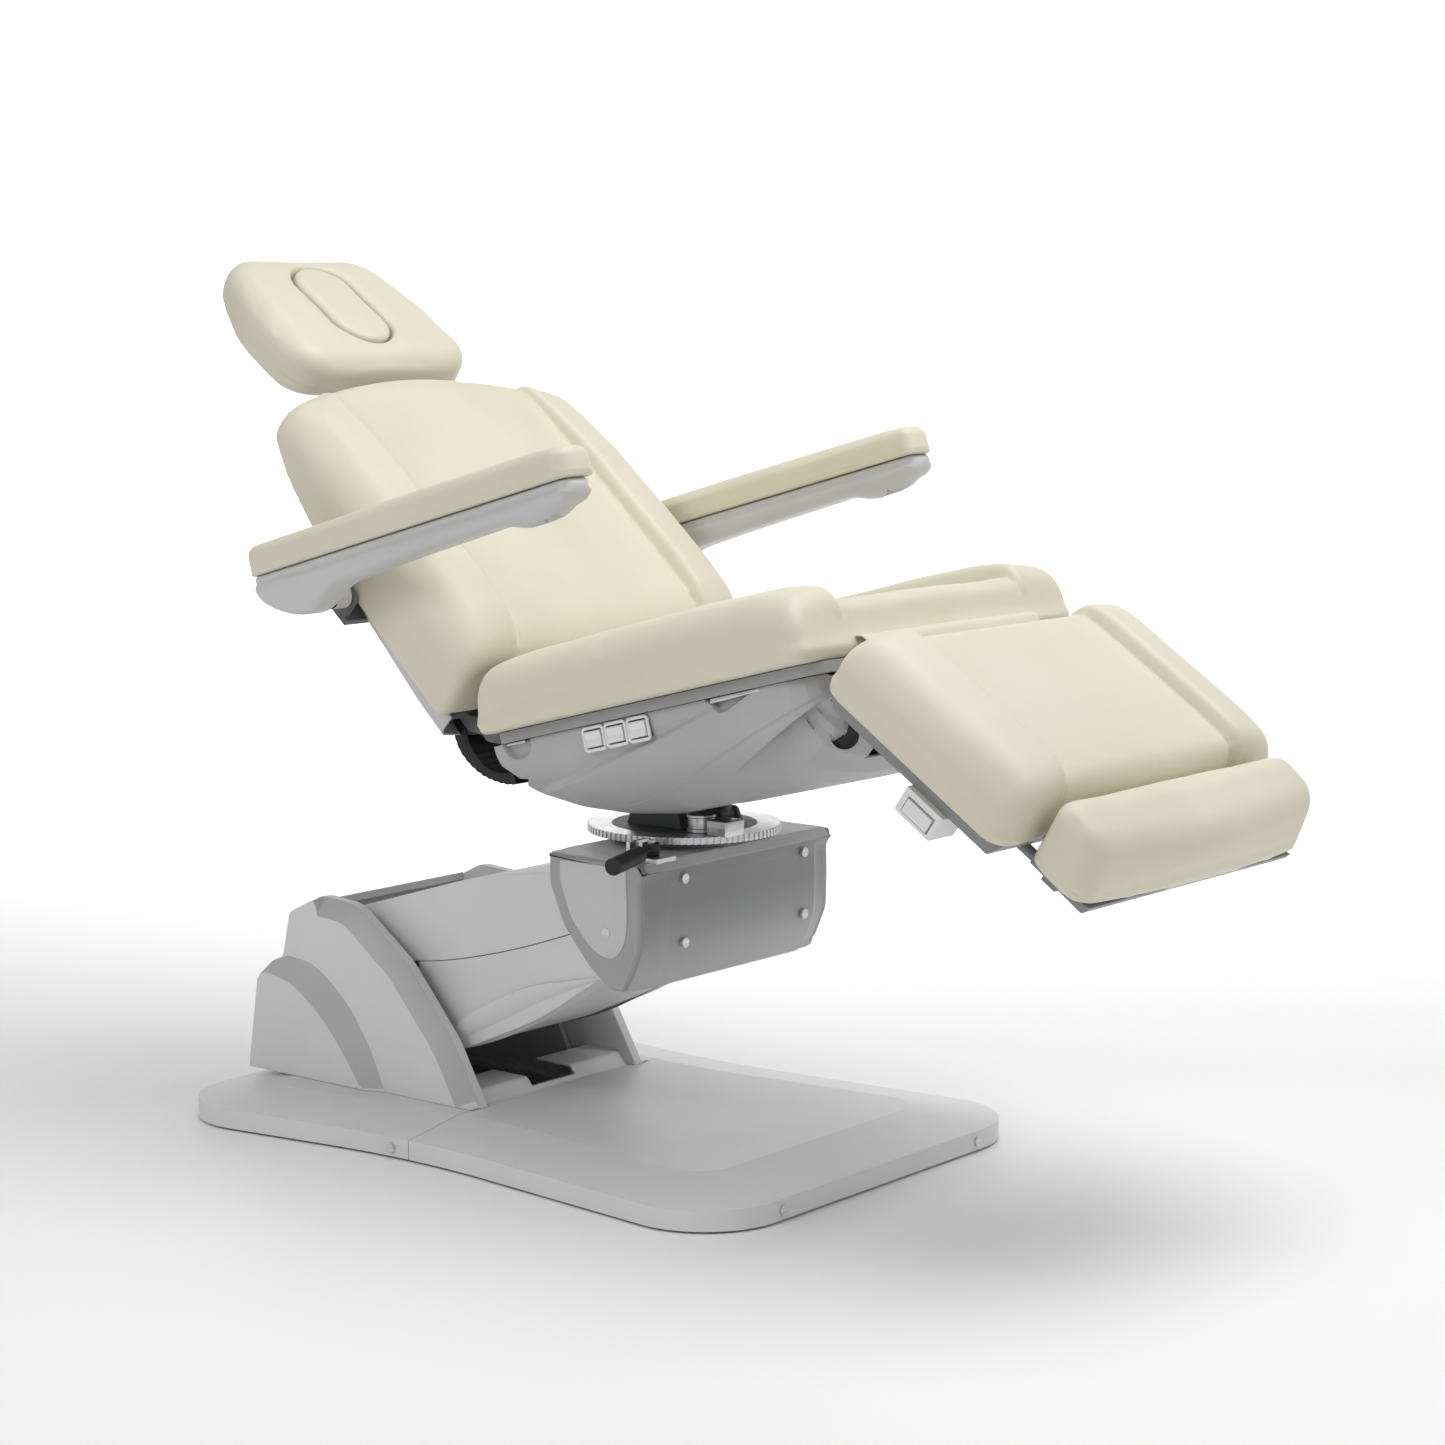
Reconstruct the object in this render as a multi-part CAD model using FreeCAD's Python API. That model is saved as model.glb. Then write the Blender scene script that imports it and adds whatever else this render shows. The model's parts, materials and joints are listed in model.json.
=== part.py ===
import FreeCAD, Part
import math
import os

# Powered treatment chair, millimetres. +X towards the feet, +Y towards the sitter's left, +Z up.
# The origin is the middle of the base underside. The seat and all that hangs on it are drawn level,
# then tipped about the tilt pin by SEAT_TILT, with the front up.

# Driving dimensions
BASE_HALF_LENGTH = 488
BASE_HALF_WIDTH = 357
WAIST_HALF_WIDTH = 290
RIM_TOP = 29
PLATEAU_TOP = 45
PLATEAU_INSET = 105
COVER_WALL = 4
SPLIT_X = -60
PLATE_TOP = 8

CHEEK_INNER = 150
CHEEK_OUTER = 182
LIFT_PIVOT = (-300, 200)
KNUCKLE_PIVOT = (170, 330)
LINK_RISE = 36
LINK_PIN_R = 6
ARM_HALF_WIDTH = 130
PIN_R = 14
SLEEVE_R = 18.5
RUN = 0.05

KNUCKLE_TOP = 413
KNUCKLE_HALF_WIDTH = 196
KNUCKLE_FRONT = 260
TURN_X = 160
RING_R = 128
RING_TOP = 434

SEAT_TILT = 14.2
TILT_PIVOT = (150, 500)
BOAT_HALF_WIDTH = 262
BOAT_BOTTOM = 442
RAIL_BOTTOM = 574
RAIL_TOP = 588
CUSHION_HALF_WIDTH = 290
BOLSTER_EDGE = 186

BACK_HINGE = (60, 600)
BACK_ANGLE = 55.9
HEAD_ANGLE = 49.1
LEG_HINGE = (605, 565)
LEG_ANGLE = -48.3
ARMREST_HINGE = (-95, 805)
ARMREST_Y = 350
ARMREST_HALF = 30
HEADREST_HALF = 168

V = FreeCAD.Vector


def outline(points, place):
    """A closed wire through points (a, b) or (a, b, corner radius); place maps (a, b) to a vector."""
    count = len(points)
    arcs = []
    for i, point in enumerate(points):
        here = V(point[0], point[1], 0)
        back = V(*points[i - 1][:2], 0).sub(here)
        ahead = V(*points[(i + 1) % count][:2], 0).sub(here)
        radius = point[2] if len(point) > 2 else 0
        if not radius:
            arcs.append((here, here, here))
            continue
        back.normalize()
        ahead.normalize()
        half = back.getAngle(ahead) / 2
        reach = radius / math.tan(half)
        middle = (back + ahead).normalize() * (radius / math.sin(half) - radius)
        arcs.append((here + back * reach, here + middle, here + ahead * reach))
    edges = []
    for i, (start, middle, end) in enumerate(arcs):
        if not start.isEqual(end, 1e-6):
            spots = [place(p.x, p.y) for p in (start, middle, end)]
            edges.append(Part.Arc(*spots).toShape())
        following = arcs[(i + 1) % count][0]
        if not end.isEqual(following, 1e-6):
            edges.append(Part.LineSegment(place(end.x, end.y), place(following.x, following.y)).toShape())
    return Part.Wire(edges)


def side_cut(points, y0, y1):
    """A side view (x, z) given thickness from y0 to y1."""
    wire = outline(points, lambda a, b: V(a, y0, b))
    return Part.Face(wire).extrude(V(0, y1 - y0, 0))


def plan_cut(points, z0, z1):
    wire = outline(points, lambda a, b: V(a, b, z0))
    return Part.Face(wire).extrude(V(0, 0, z1 - z0))


def front_cut(points, x0, x1):
    wire = outline(points, lambda a, b: V(x0, a, b))
    return Part.Face(wire).extrude(V(x1 - x0, 0, 0))


def block(x0, x1, y0, y1, z0, z1):
    return Part.makeBox(x1 - x0, y1 - y0, z1 - z0, V(x0, y0, z0))


def rod(start, end, radius):
    a = V(*start)
    along = V(*end).sub(a)
    return Part.makeCylinder(radius, along.Length, a, along)


def tube(start, end, outer, inner):
    return rod(start, end, outer).cut(rod(start, end, inner))


def cross_rod(spot, y0, y1, radius):
    return rod((spot[0], y0, spot[1]), (spot[0], y1, spot[1]), radius)


def mirrored(shape):
    return shape.mirror(V(0, 0, 0), V(0, 1, 0))


def both_sides(shape):
    return [shape, mirrored(shape)]


def joined(shapes):
    return shapes[0].fuse(shapes[1:]).removeSplitter()


def group(shapes):
    return Part.makeCompound(shapes)


def save(name, shape):
    shape.exportStep("parts/" + name + ".step")


def save_tipped(name, shape):
    copy = shape.copy()
    copy.rotate(V(TILT_PIVOT[0], 0, TILT_PIVOT[1]), V(0, 1, 0), -SEAT_TILT)
    save(name, copy)


def back_xz(along, out):
    c = math.cos(math.radians(BACK_ANGLE))
    s = math.sin(math.radians(BACK_ANGLE))
    return (BACK_HINGE[0] - along * c + out * s, BACK_HINGE[1] + along * s + out * c)


def head_xz(along, out):
    base = back_xz(590, 0)
    c = math.cos(math.radians(HEAD_ANGLE))
    s = math.sin(math.radians(HEAD_ANGLE))
    return (base[0] - along * c + out * s, base[1] + along * s + out * c)


def leg_xz(along, out):
    c = math.cos(math.radians(LEG_ANGLE))
    s = math.sin(math.radians(LEG_ANGLE))
    return (LEG_HINGE[0] + along * c - out * s, LEG_HINGE[1] + along * s + out * c)


def arm_xz(along, out):
    rise = math.atan2(KNUCKLE_PIVOT[1] - LIFT_PIVOT[1], KNUCKLE_PIVOT[0] - LIFT_PIVOT[0])
    c = math.cos(rise)
    s = math.sin(rise)
    return (LIFT_PIVOT[0] + along * c - out * s, LIFT_PIVOT[1] + along * s + out * c)


def panel(place, points, y0, y1):
    """A side view given in a panel's own (along, out), with thickness from y0 to y1."""
    mapped = [place(p[0], p[1]) + tuple(p[2:]) for p in points]
    return side_cut(mapped, y0, y1)


def panel_rod(place, start, end, y, radius):
    a = place(*start)
    b = place(*end)
    return rod((a[0], y, a[1]), (b[0], y, b[1]), radius)


def pinned(place, spot, y0, y1, radius):
    return cross_rod(place(*spot), y0, y1, radius)


def tipped(spot):
    """Where a level (x, z) lies once the seat is tipped."""
    c = math.cos(math.radians(SEAT_TILT))
    s = math.sin(math.radians(SEAT_TILT))
    dx = spot[0] - TILT_PIVOT[0]
    dz = spot[1] - TILT_PIVOT[1]
    return (TILT_PIVOT[0] + dx * c - dz * s, TILT_PIVOT[1] + dx * s + dz * c)


def panel_plan(place, points, low, high):
    """A face view (along, y) of a panel, given thickness from low to high along its out."""
    def at(along, y):
        x, z = place(along, low)
        return V(x, y, z)
    a = place(0, low)
    b = place(0, high)
    return Part.Face(outline(points, at)).extrude(V(b[0] - a[0], 0, b[1] - a[1]))


ARM_LENGTH = math.hypot(KNUCKLE_PIVOT[0] - LIFT_PIVOT[0], KNUCKLE_PIVOT[1] - LIFT_PIVOT[1])


# Base and column

def base_outline(inset, z):
    rear = -BASE_HALF_LENGTH + inset
    front = BASE_HALF_LENGTH - inset
    rear_y = BASE_HALF_WIDTH - inset
    front_y = BASE_HALF_WIDTH - 12 - inset
    waist_y = WAIST_HALF_WIDTH - inset
    corner = 110 - inset * 0.55
    right = [(rear, -rear_y, corner), (SPLIT_X, -waist_y, 1100), (front, -front_y, corner)]
    left = [(front, front_y, corner), (SPLIT_X, waist_y, 1100), (rear, rear_y, corner)]
    return outline(right + left, lambda a, b: V(a, b, z))


def base_form(gap, bottom):
    low = Part.Face(base_outline(gap, bottom)).extrude(V(0, 0, RIM_TOP - gap - bottom))
    high = Part.makeLoft([base_outline(gap, RIM_TOP - gap), base_outline(PLATEAU_INSET, PLATEAU_TOP - gap)],
                         True, True)
    return low.fuse(high)


def base_covers():
    skin = base_form(0, 3).cut(base_form(COVER_WALL, 2))
    well = block(-440, -75, -CHEEK_INNER, CHEEK_INNER, 0, 60)
    skin = skin.cut(well)
    floor_box = side_cut([(-146, 41), (-146, 62), (-84, 62, 8), (-66, 41)], -CHEEK_INNER + 0.5, CHEEK_INNER - 0.5)
    floor_box = floor_box.cut([block(-150, -60, -44, 44, 50, 80),
                               side_cut([(-149, 30), (-149, 59), (-86, 59), (-70, 41), (-70, 30)], -145, 145)])
    rear = skin.common(block(-600, SPLIT_X - 0.5, -500, 500, 0, 60)).fuse(floor_box)
    front = skin.common(block(SPLIT_X + 0.5, 600, -500, 500, 0, 60))
    return rear, front


def base_screw_places():
    front_x = BASE_HALF_LENGTH
    side = WAIST_HALF_WIDTH + 8
    return [((front_x, y), (1, 0)) for y in (-208, 208)] + \
           [((-BASE_HALF_LENGTH, y), (-1, 0)) for y in (-200, 200)] + \
           [((SPLIT_X - 30, side), (0, 1)), ((SPLIT_X - 30, -side), (0, -1))]


def base_screws(skin):
    heads = []
    for (x, y), (nx, ny) in base_screw_places():
        heads.append(rod((x - nx * 2, y - ny * 6, 15), (x + nx * 3, y + ny * 6, 15), 7).cut(skin))
    return group(heads)


CHEEK_SIDE = [(-478, 45.2), (-457, 178), (-417, 211, 14), (-403, 274, 14), (-352, 299, 24),
              (-285, 294, 60), (-190, 226, 120), (-105, 130, 200), (-56, 45.2)]


def column_cheek():
    body = side_cut(CHEEK_SIDE, CHEEK_INNER, CHEEK_OUTER)
    hollow = side_cut(CHEEK_SIDE, CHEEK_INNER - 1, CHEEK_OUTER - COVER_WALL)
    hollow.scale(0.955, V(-290, 0, 45.2))
    hollow.translate(V(0, 0.5, -0.2))
    body = body.cut(hollow.common(block(-500, 0, CHEEK_INNER - 2, CHEEK_OUTER - COVER_WALL, 0, 400)))
    groove_centre = (-420, -70)
    groove = tube((groove_centre[0], CHEEK_OUTER - 1.5, groove_centre[1]),
                  (groove_centre[0], CHEEK_OUTER + 1, groove_centre[1]), 322, 292)
    return body.cut(groove)


def column_rear_cover():
    outer = side_cut([(-474, 45.2), (-454, 178), (-414, 212, 14), (-399, 272, 14), (-385, 284),
                      (-385, 45.2)], -CHEEK_INNER + 0.5, CHEEK_INNER - 0.5)
    inner = side_cut([(-470, 40), (-450, 176), (-410, 210, 12), (-395, 268, 10), (-380, 276), (-380, 40)],
                     -CHEEK_INNER, CHEEK_INNER)
    slot = block(-480, -440, -16, 16, 66, 92)
    return outer.cut(inner).cut(slot)


def power_inlet():
    body = block(-477, -445, -15.6, 15.6, 66.4, 91.6)
    cavity = block(-478, -458, -11, 11, 71, 87)
    prongs = [block(-470, -457, y - 1, y + 1, 76, 82) for y in (-6, 0, 6)]
    return group([joined([body.cut(cavity)] + prongs)])


def column_frame():
    side = side_cut([(-400, PLATE_TOP), (-330, 232, 22), (-268, 268, 20), (-235, 180, 30),
                     (-150, PLATE_TOP)], 138, 146)
    side = side.cut(cross_rod(LIFT_PIVOT, 130, 150, PIN_R))
    link_pin = (LIFT_PIVOT[0], LIFT_PIVOT[1] + LINK_RISE)
    side = side.cut(cross_rod(link_pin, 130, 150, LINK_PIN_R))
    foot = block(-400, -150, 118, 146, PLATE_TOP, PLATE_TOP + 8)
    lug = side_cut([(LIFT_BASE[0] - 26, PLATE_TOP), (LIFT_BASE[0] - 14, LIFT_BASE[1] + 14, 12),
                    (LIFT_BASE[0] + 14, LIFT_BASE[1] + 14, 12), (LIFT_BASE[0] + 26, PLATE_TOP)], 17, 25)
    lug = lug.cut(cross_rod(LIFT_BASE, 0, 40, 8))
    tie = block(-420, -380, -25, 25, PLATE_TOP, PLATE_TOP + 10)
    sides = [joined([side.cut(foot), foot])]
    return group(sides + [mirrored(sides[0]), joined([tie, lug.cut(tie), mirrored(lug).cut(tie)])])


def column_pins():
    lift = cross_rod(LIFT_PIVOT, -149, 149, PIN_R)
    link = cross_rod((LIFT_PIVOT[0], LIFT_PIVOT[1] + LINK_RISE), -149, 149, LINK_PIN_R)
    motor = cross_rod(LIFT_BASE, -27, 27, 8)
    return group([lift, link, motor])


# Lift arm, level link and lift actuator

LIFT_BASE = (-400, 62)
LIFT_EYE = (250, -84)


def arm_upper_cover():
    points = [(-73, 0), (-73, 62, 55), (0, 84, 90), (250, 90, 900), (372, 74, 300), (438, 62, 60),
              (ARM_LENGTH + 45, 56, 40), (ARM_LENGTH + 45, 0)]
    outer = panel(arm_xz, points, -ARM_HALF_WIDTH, ARM_HALF_WIDTH)
    inner = panel(arm_xz, [(-69, -1), (-69, 60, 50), (0, 80, 86), (250, 86, 890), (372, 70, 290),
                           (438, 58, 56), (ARM_LENGTH + 41, 52, 36), (ARM_LENGTH + 41, -1)],
                  -ARM_HALF_WIDTH + COVER_WALL, ARM_HALF_WIDTH - COVER_WALL)
    holes = [pinned(arm_xz, spot, -200, 200, PIN_R + 4) for spot in ((0, 0), (ARM_LENGTH, 0))]
    return cut_link_room(outer.cut(inner).cut(holes))


def cut_link_room(shape):
    """Slots in the cover's sides for the link pins, which stay upright as the arm turns."""
    for start in (0, ARM_LENGTH):
        path = []
        for degrees in range(-4, 49, 4):
            angle = math.radians(90 - degrees)
            spot = (start + LINK_RISE * math.cos(angle), LINK_RISE * math.sin(angle))
            path.append(pinned(arm_xz, spot, -200, 200, LINK_PIN_R + 3.5))
        shape = shape.cut(path)
    return shape


def arm_lower_cover():
    points = [(95, -0.6), (95, -118, 30), (150, -134, 120), (300, -112, 500), (440, -68, 160),
              (ARM_LENGTH + 40, -56, 40), (ARM_LENGTH + 40, -0.6)]
    outer = panel(arm_xz, points, -ARM_HALF_WIDTH, ARM_HALF_WIDTH)
    inner = panel(arm_xz, [(90, 1), (90, -128), (150, -130, 110), (300, -108, 490), (440, -64, 150),
                           (ARM_LENGTH + 36, -52, 36), (ARM_LENGTH + 36, 1)],
                  -ARM_HALF_WIDTH + COVER_WALL, ARM_HALF_WIDTH - COVER_WALL)
    hole = pinned(arm_xz, (ARM_LENGTH, 0), -200, 200, PIN_R + 4)
    return outer.cut(inner).cut(hole)


def arm_frame():
    side = panel(arm_xz, [(-26, -24, 20), (-26, 19, 16), (ARM_LENGTH + 26, 19, 16),
                          (ARM_LENGTH + 26, -24, 20)], 92, 102)
    sleeves = [tube(arm_xz(u, 0)[0:1] + (-124,) + arm_xz(u, 0)[1:], arm_xz(u, 0)[0:1] + (124,)
                    + arm_xz(u, 0)[1:], SLEEVE_R, PIN_R + RUN) for u in (0, ARM_LENGTH)]
    plate = panel(arm_xz, [(60, -18), (60, -10), (430, -10), (430, -18)], -92, 92)
    lug = panel(arm_xz, [(212, -18), (236, LIFT_EYE[1] - 14, 12), (264, LIFT_EYE[1] - 14, 12),
                         (288, -18)], 14, 22)
    pin = pinned(arm_xz, LIFT_EYE, -26, 26, 8)
    bodies = both_sides(side) + both_sides(lug)
    whole = joined([plate] + bodies + [pin])
    for u in (0, ARM_LENGTH):
        whole = whole.cut(pinned(arm_xz, (u, 0), -130, 130, SLEEVE_R))
    return joined([whole] + sleeves)


def level_link():
    base = (LIFT_PIVOT[0], LIFT_PIVOT[1] + LINK_RISE)
    end = (KNUCKLE_PIVOT[0], KNUCKLE_PIVOT[1] + LINK_RISE)
    bar = rod((base[0], 0, base[1]), (end[0], 0, end[1]), 6)
    eyes = [cross_rod(base, -9, 9, 11), cross_rod(end, -9, 9, 11)]
    bores = [cross_rod(base, -20, 20, LINK_PIN_R + RUN), cross_rod(end, -20, 20, LINK_PIN_R + 0.3)]
    return joined([bar] + eyes).cut(bores)


def actuator(start, end, body_length, body_r, rod_r, eye_r, bore, end_bore, stroke_in, y=0, width=14):
    """A motor tube that turns on a pin at start, and its rod, which ends in an eye round a pin at end.
    The rod may slide in by stroke_in. The end eye is wider than its pin, because the rod follows the
    hinge at a constant ratio."""
    a = V(start[0], y, start[1])
    along = V(end[0], y, end[1]).sub(a)
    length = along.Length
    along.normalize()
    neck = eye_r + 15
    barrel = Part.makeCylinder(body_r, body_length - neck, a + along * neck, along)
    stem = Part.makeCylinder(min(width, body_r) * 0.8, neck, a, along)
    eye = cross_rod(start, y - width, y + width, eye_r)
    body = joined([barrel, stem, eye])
    body = body.cut([cross_rod(start, y - 40, y + 40, bore),
                     Part.makeCylinder(rod_r + 0.05, body_length, a + along * (eye_r + 4), along)])
    ram_start = eye_r + 6 + stroke_in
    ram = Part.makeCylinder(rod_r, length - ram_start, a + along * ram_start, along)
    head = cross_rod(end, y - width + 2, y + width - 2, end_bore + 5)
    ram = joined([ram, head]).cut(cross_rod(end, y - 40, y + 40, end_bore))
    return body, ram


# Knuckle and turntable

KNUCKLE_SIDE = [(93, KNUCKLE_TOP - 8), (93, 373, 40), (117, 318, 60), (160, 270, 70), (196, 244, 36),
                (KNUCKLE_FRONT - 26, 243, 34), (KNUCKLE_FRONT - 1, 300, 60), (KNUCKLE_FRONT - 1, 345, 200),
                (KNUCKLE_FRONT - 12, KNUCKLE_TOP - 8)]


def knuckle_hull():
    outer = side_cut(KNUCKLE_SIDE, -KNUCKLE_HALF_WIDTH + 9, KNUCKLE_HALF_WIDTH - 9)
    inner = side_cut(KNUCKLE_SIDE, -160, 160)
    inner.scale(0.93, V(200, 0, KNUCKLE_TOP - 8))
    mouth = block(60, 205, -160, 160, 200, KNUCKLE_TOP)
    return outer.cut(inner).cut(mouth).cut(block(0, KNUCKLE_FRONT - 7, -160, 160, 256, KNUCKLE_TOP)).cut(
        front_plate_room())


def front_plate_room():
    return block(KNUCKLE_FRONT - 7, KNUCKLE_FRONT + 5, -162, 162, 258, KNUCKLE_TOP - 7)


def knuckle_front_plate():
    return front_cut([(-160, 262, 12), (160, 262, 12), (160, KNUCKLE_TOP - 9, 8), (-160, KNUCKLE_TOP - 9, 8)],
                     KNUCKLE_FRONT - 6, KNUCKLE_FRONT + 1)


def knuckle_cap():
    body = side_cut(KNUCKLE_SIDE, KNUCKLE_HALF_WIDTH - 8.6, KNUCKLE_HALF_WIDTH)
    relief = side_cut([(106, 398, 6), (106, 372, 40), (128, 322, 60), (168, 280, 60), (222, 268, 40),
                       (KNUCKLE_FRONT - 10, 305, 40), (KNUCKLE_FRONT - 22, 398, 6)],
                      KNUCKLE_HALF_WIDTH - 1.5, KNUCKLE_HALF_WIDTH + 1)
    return body.cut(relief)


def knuckle_screws():
    heads = []
    for y in (-124, 124):
        for z in (305, 388):
            heads.append(rod((KNUCKLE_FRONT + 1, y, z), (KNUCKLE_FRONT + 5, y, z), 6.5))
    for side in (-1, 1):
        y = side * (KNUCKLE_HALF_WIDTH - 1.5)
        heads.append(rod((194, y, 320), (194, y + side * 4, 320), 6.5))
    return group(heads)


def knuckle_frame():
    top = plan_cut([(94, -186, 8), (KNUCKLE_FRONT - 12, -186, 8), (KNUCKLE_FRONT - 12, 186, 8),
                    (94, 186, 8)], KNUCKLE_TOP - 7.6, KNUCKLE_TOP)
    side = side_cut([(120, KNUCKLE_TOP - 7.6), (132, 300, 26), (208, 300, 26), (235, KNUCKLE_TOP - 7.6)],
                    138, 146)
    side = side.cut(cross_rod(KNUCKLE_PIVOT, 130, 150, PIN_R))
    side = side.cut(cross_rod((KNUCKLE_PIVOT[0], KNUCKLE_PIVOT[1] + LINK_RISE), 130, 150, LINK_PIN_R))
    top = top.cut(rod((TURN_X, 0, 400), (TURN_X, 0, 420), 40))
    return joined([top] + both_sides(side))


def knuckle_pins():
    return group([cross_rod(KNUCKLE_PIVOT, -149, 149, PIN_R),
                  cross_rod((KNUCKLE_PIVOT[0], KNUCKLE_PIVOT[1] + LINK_RISE), -149, 149,
                            LINK_PIN_R)])


LOCK_PIVOT = (236, -158)


def lock_bracket():
    foot = block(212, 262, -178, -140, KNUCKLE_TOP + 0.2, KNUCKLE_TOP + 6)
    wall = block(212, 218, -178, -140, KNUCKLE_TOP + 0.2, KNUCKLE_TOP + 24)
    post = rod((LOCK_PIVOT[0], LOCK_PIVOT[1], KNUCKLE_TOP + 4), (LOCK_PIVOT[0], LOCK_PIVOT[1],
                                                                 KNUCKLE_TOP + 26), 5)
    return joined([foot, wall, post])


def lock_lever():
    x, y = LOCK_PIVOT
    hub = tube((x, y, KNUCKLE_TOP + 6.4), (x, y, KNUCKLE_TOP + 22), 11, 5 + RUN)
    stem = rod((x + 4, y - 8, KNUCKLE_TOP + 15), (x + 12, y - 40, KNUCKLE_TOP + 13), 4.5)
    stem = stem.cut(rod((x, y, 400), (x, y, 450), 8))
    grip = rod((x + 11, y - 36, KNUCKLE_TOP + 13.2), (x + 28, y - 106, KNUCKLE_TOP + 9), 11)
    return joined([hub, stem, grip])


def turntable_ring():
    ring = tube((TURN_X, 0, RING_TOP - 9), (TURN_X, 0, RING_TOP), RING_R - 2.5, 96)
    teeth = []
    count = 90
    for i in range(count):
        tooth = block(RING_R - 3.5, RING_R, -2.2, 2.2, RING_TOP - 9, RING_TOP)
        tooth.rotate(V(0, 0, 0), V(0, 0, 1), i * 360 / count)
        tooth.translate(V(TURN_X, 0, 0))
        teeth.append(tooth)
    return ring.fuse(teeth)


def tilt_yoke():
    hub = rod((TURN_X, 0, KNUCKLE_TOP + 0.4), (TURN_X, 0, RING_TOP - 9), 92)
    disc = rod((TURN_X, 0, RING_TOP - 9), (TURN_X, 0, RING_TOP), 95.8)
    spindle = rod((TURN_X, 0, 402), (TURN_X, 0, KNUCKLE_TOP + 1), 39.9)
    x, z = TILT_PIVOT
    ear = side_cut([(x - 46, RING_TOP), (x - 18, z + 16, 16), (x + 18, z + 16, 16), (x + 46, RING_TOP)], 40, 50)
    ear = ear.cut(cross_rod(TILT_PIVOT, 30, 60, 10 + RUN))
    lug = side_cut([(TILT_BASE[0] - 20, RING_TOP), (TILT_BASE[0] - 9, TILT_BASE[1] + 9, 8),
                    (TILT_BASE[0] + 9, TILT_BASE[1] + 9, 8), (TILT_BASE[0] + 20, RING_TOP)], 13, 19)
    lug = lug.cut(cross_rod(TILT_BASE, 0, 30, 5))
    yoke = joined([hub, disc, spindle] + both_sides(ear) + both_sides(lug))
    return group([yoke, cross_rod(TILT_BASE, -21, 21, 5)])


# Seat, drawn level

TILT_BASE = (226, 452)
TILT_EYE = (262, 552)
BACK_BASE = (300, 500)
BACK_EYE = (-30, -50)
LEG_BASE = (330, 512)
LEG_EYE = (44, -58)
BACK_ACTUATOR_Y = 118
LEG_ACTUATOR_Y = -105

BOAT_SIDE = [(74, RAIL_BOTTOM - 0.4), (52, 548, 12), (60, 512, 20), (128, 462, 60), (215, BOAT_BOTTOM, 200),
             (470, BOAT_BOTTOM, 200), (572, 470, 40), (598, 530, 40), (600, RAIL_BOTTOM - 0.4)]
BOAT_SECTION = [(-1, RAIL_BOTTOM - 0.4), (-1, 536, 40), (-0.79, 478, 80), (-0.42, BOAT_BOTTOM, 60),
                (0.42, BOAT_BOTTOM, 60), (0.79, 478, 80), (1, 536, 40), (1, RAIL_BOTTOM - 0.4)]


def boat_form(gap):
    shape = side_cut(BOAT_SIDE, -300, 300)
    half = BOAT_HALF_WIDTH - gap
    section = [(p[0] * half, p[1] + gap) + tuple(p[2:]) for p in BOAT_SECTION]
    shape = shape.common(front_cut(section, 0, 700))
    return shape


def rocker_x(i):
    return 250 + i * 37


def seat_shell():
    inner = boat_form(4)
    inner.scale(0.985, V(330, 0, RAIL_BOTTOM))
    shape = boat_form(0).cut(inner.fuse(block(86, 590, -250, 250, 560, 600)))
    drum_room = cross_rod(BACK_HINGE, -227, 227, 85)
    yoke_room = block(60, 290, -72, 72, 420, 520)
    lever_room = block(520, 640, LEG_ACTUATOR_Y - 24, LEG_ACTUATOR_Y + 24, 468, 562)
    lug_room = [block(560, 640, y - 16, y + 16, 540, 600) for y in (-140, 140)]
    lug_room += [block(60, 100, y - 5, y + 5, 540, 575) for y in (-236, 236)]
    pockets = [block(rocker_x(i) - 15, rocker_x(i) + 15, -270, -250, 543.5, 568.5) for i in range(3)]
    lift_out = [drum_room, yoke_room, lever_room] + lug_room + pockets
    return shape.cut(lift_out)


def seat_rocker(i):
    x = rocker_x(i)
    face = front_cut([(-267, 546, 3), (-264, 556, 0), (-267, 566, 3), (-256, 566, 2), (-256, 546, 2)],
                     x - 13, x + 13)
    return face


def seat_rail():
    outer = plan_cut([(86, -266, 20), (612, -266, 30), (612, 266, 30), (86, 266, 20)], RAIL_BOTTOM, RAIL_TOP)
    inner = plan_cut([(92, -260, 14), (606, -260, 24), (606, 260, 24), (92, 260, 14)], 560, 600)
    lug_room = [block(598, 640, y - 17, y + 17, 560, 583) for y in (-140, 140)]
    lug_room += [block(80, 95, y - 5, y + 5, 570, 590) for y in (-236, 236)]
    return outer.cut([inner] + lug_room)


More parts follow.
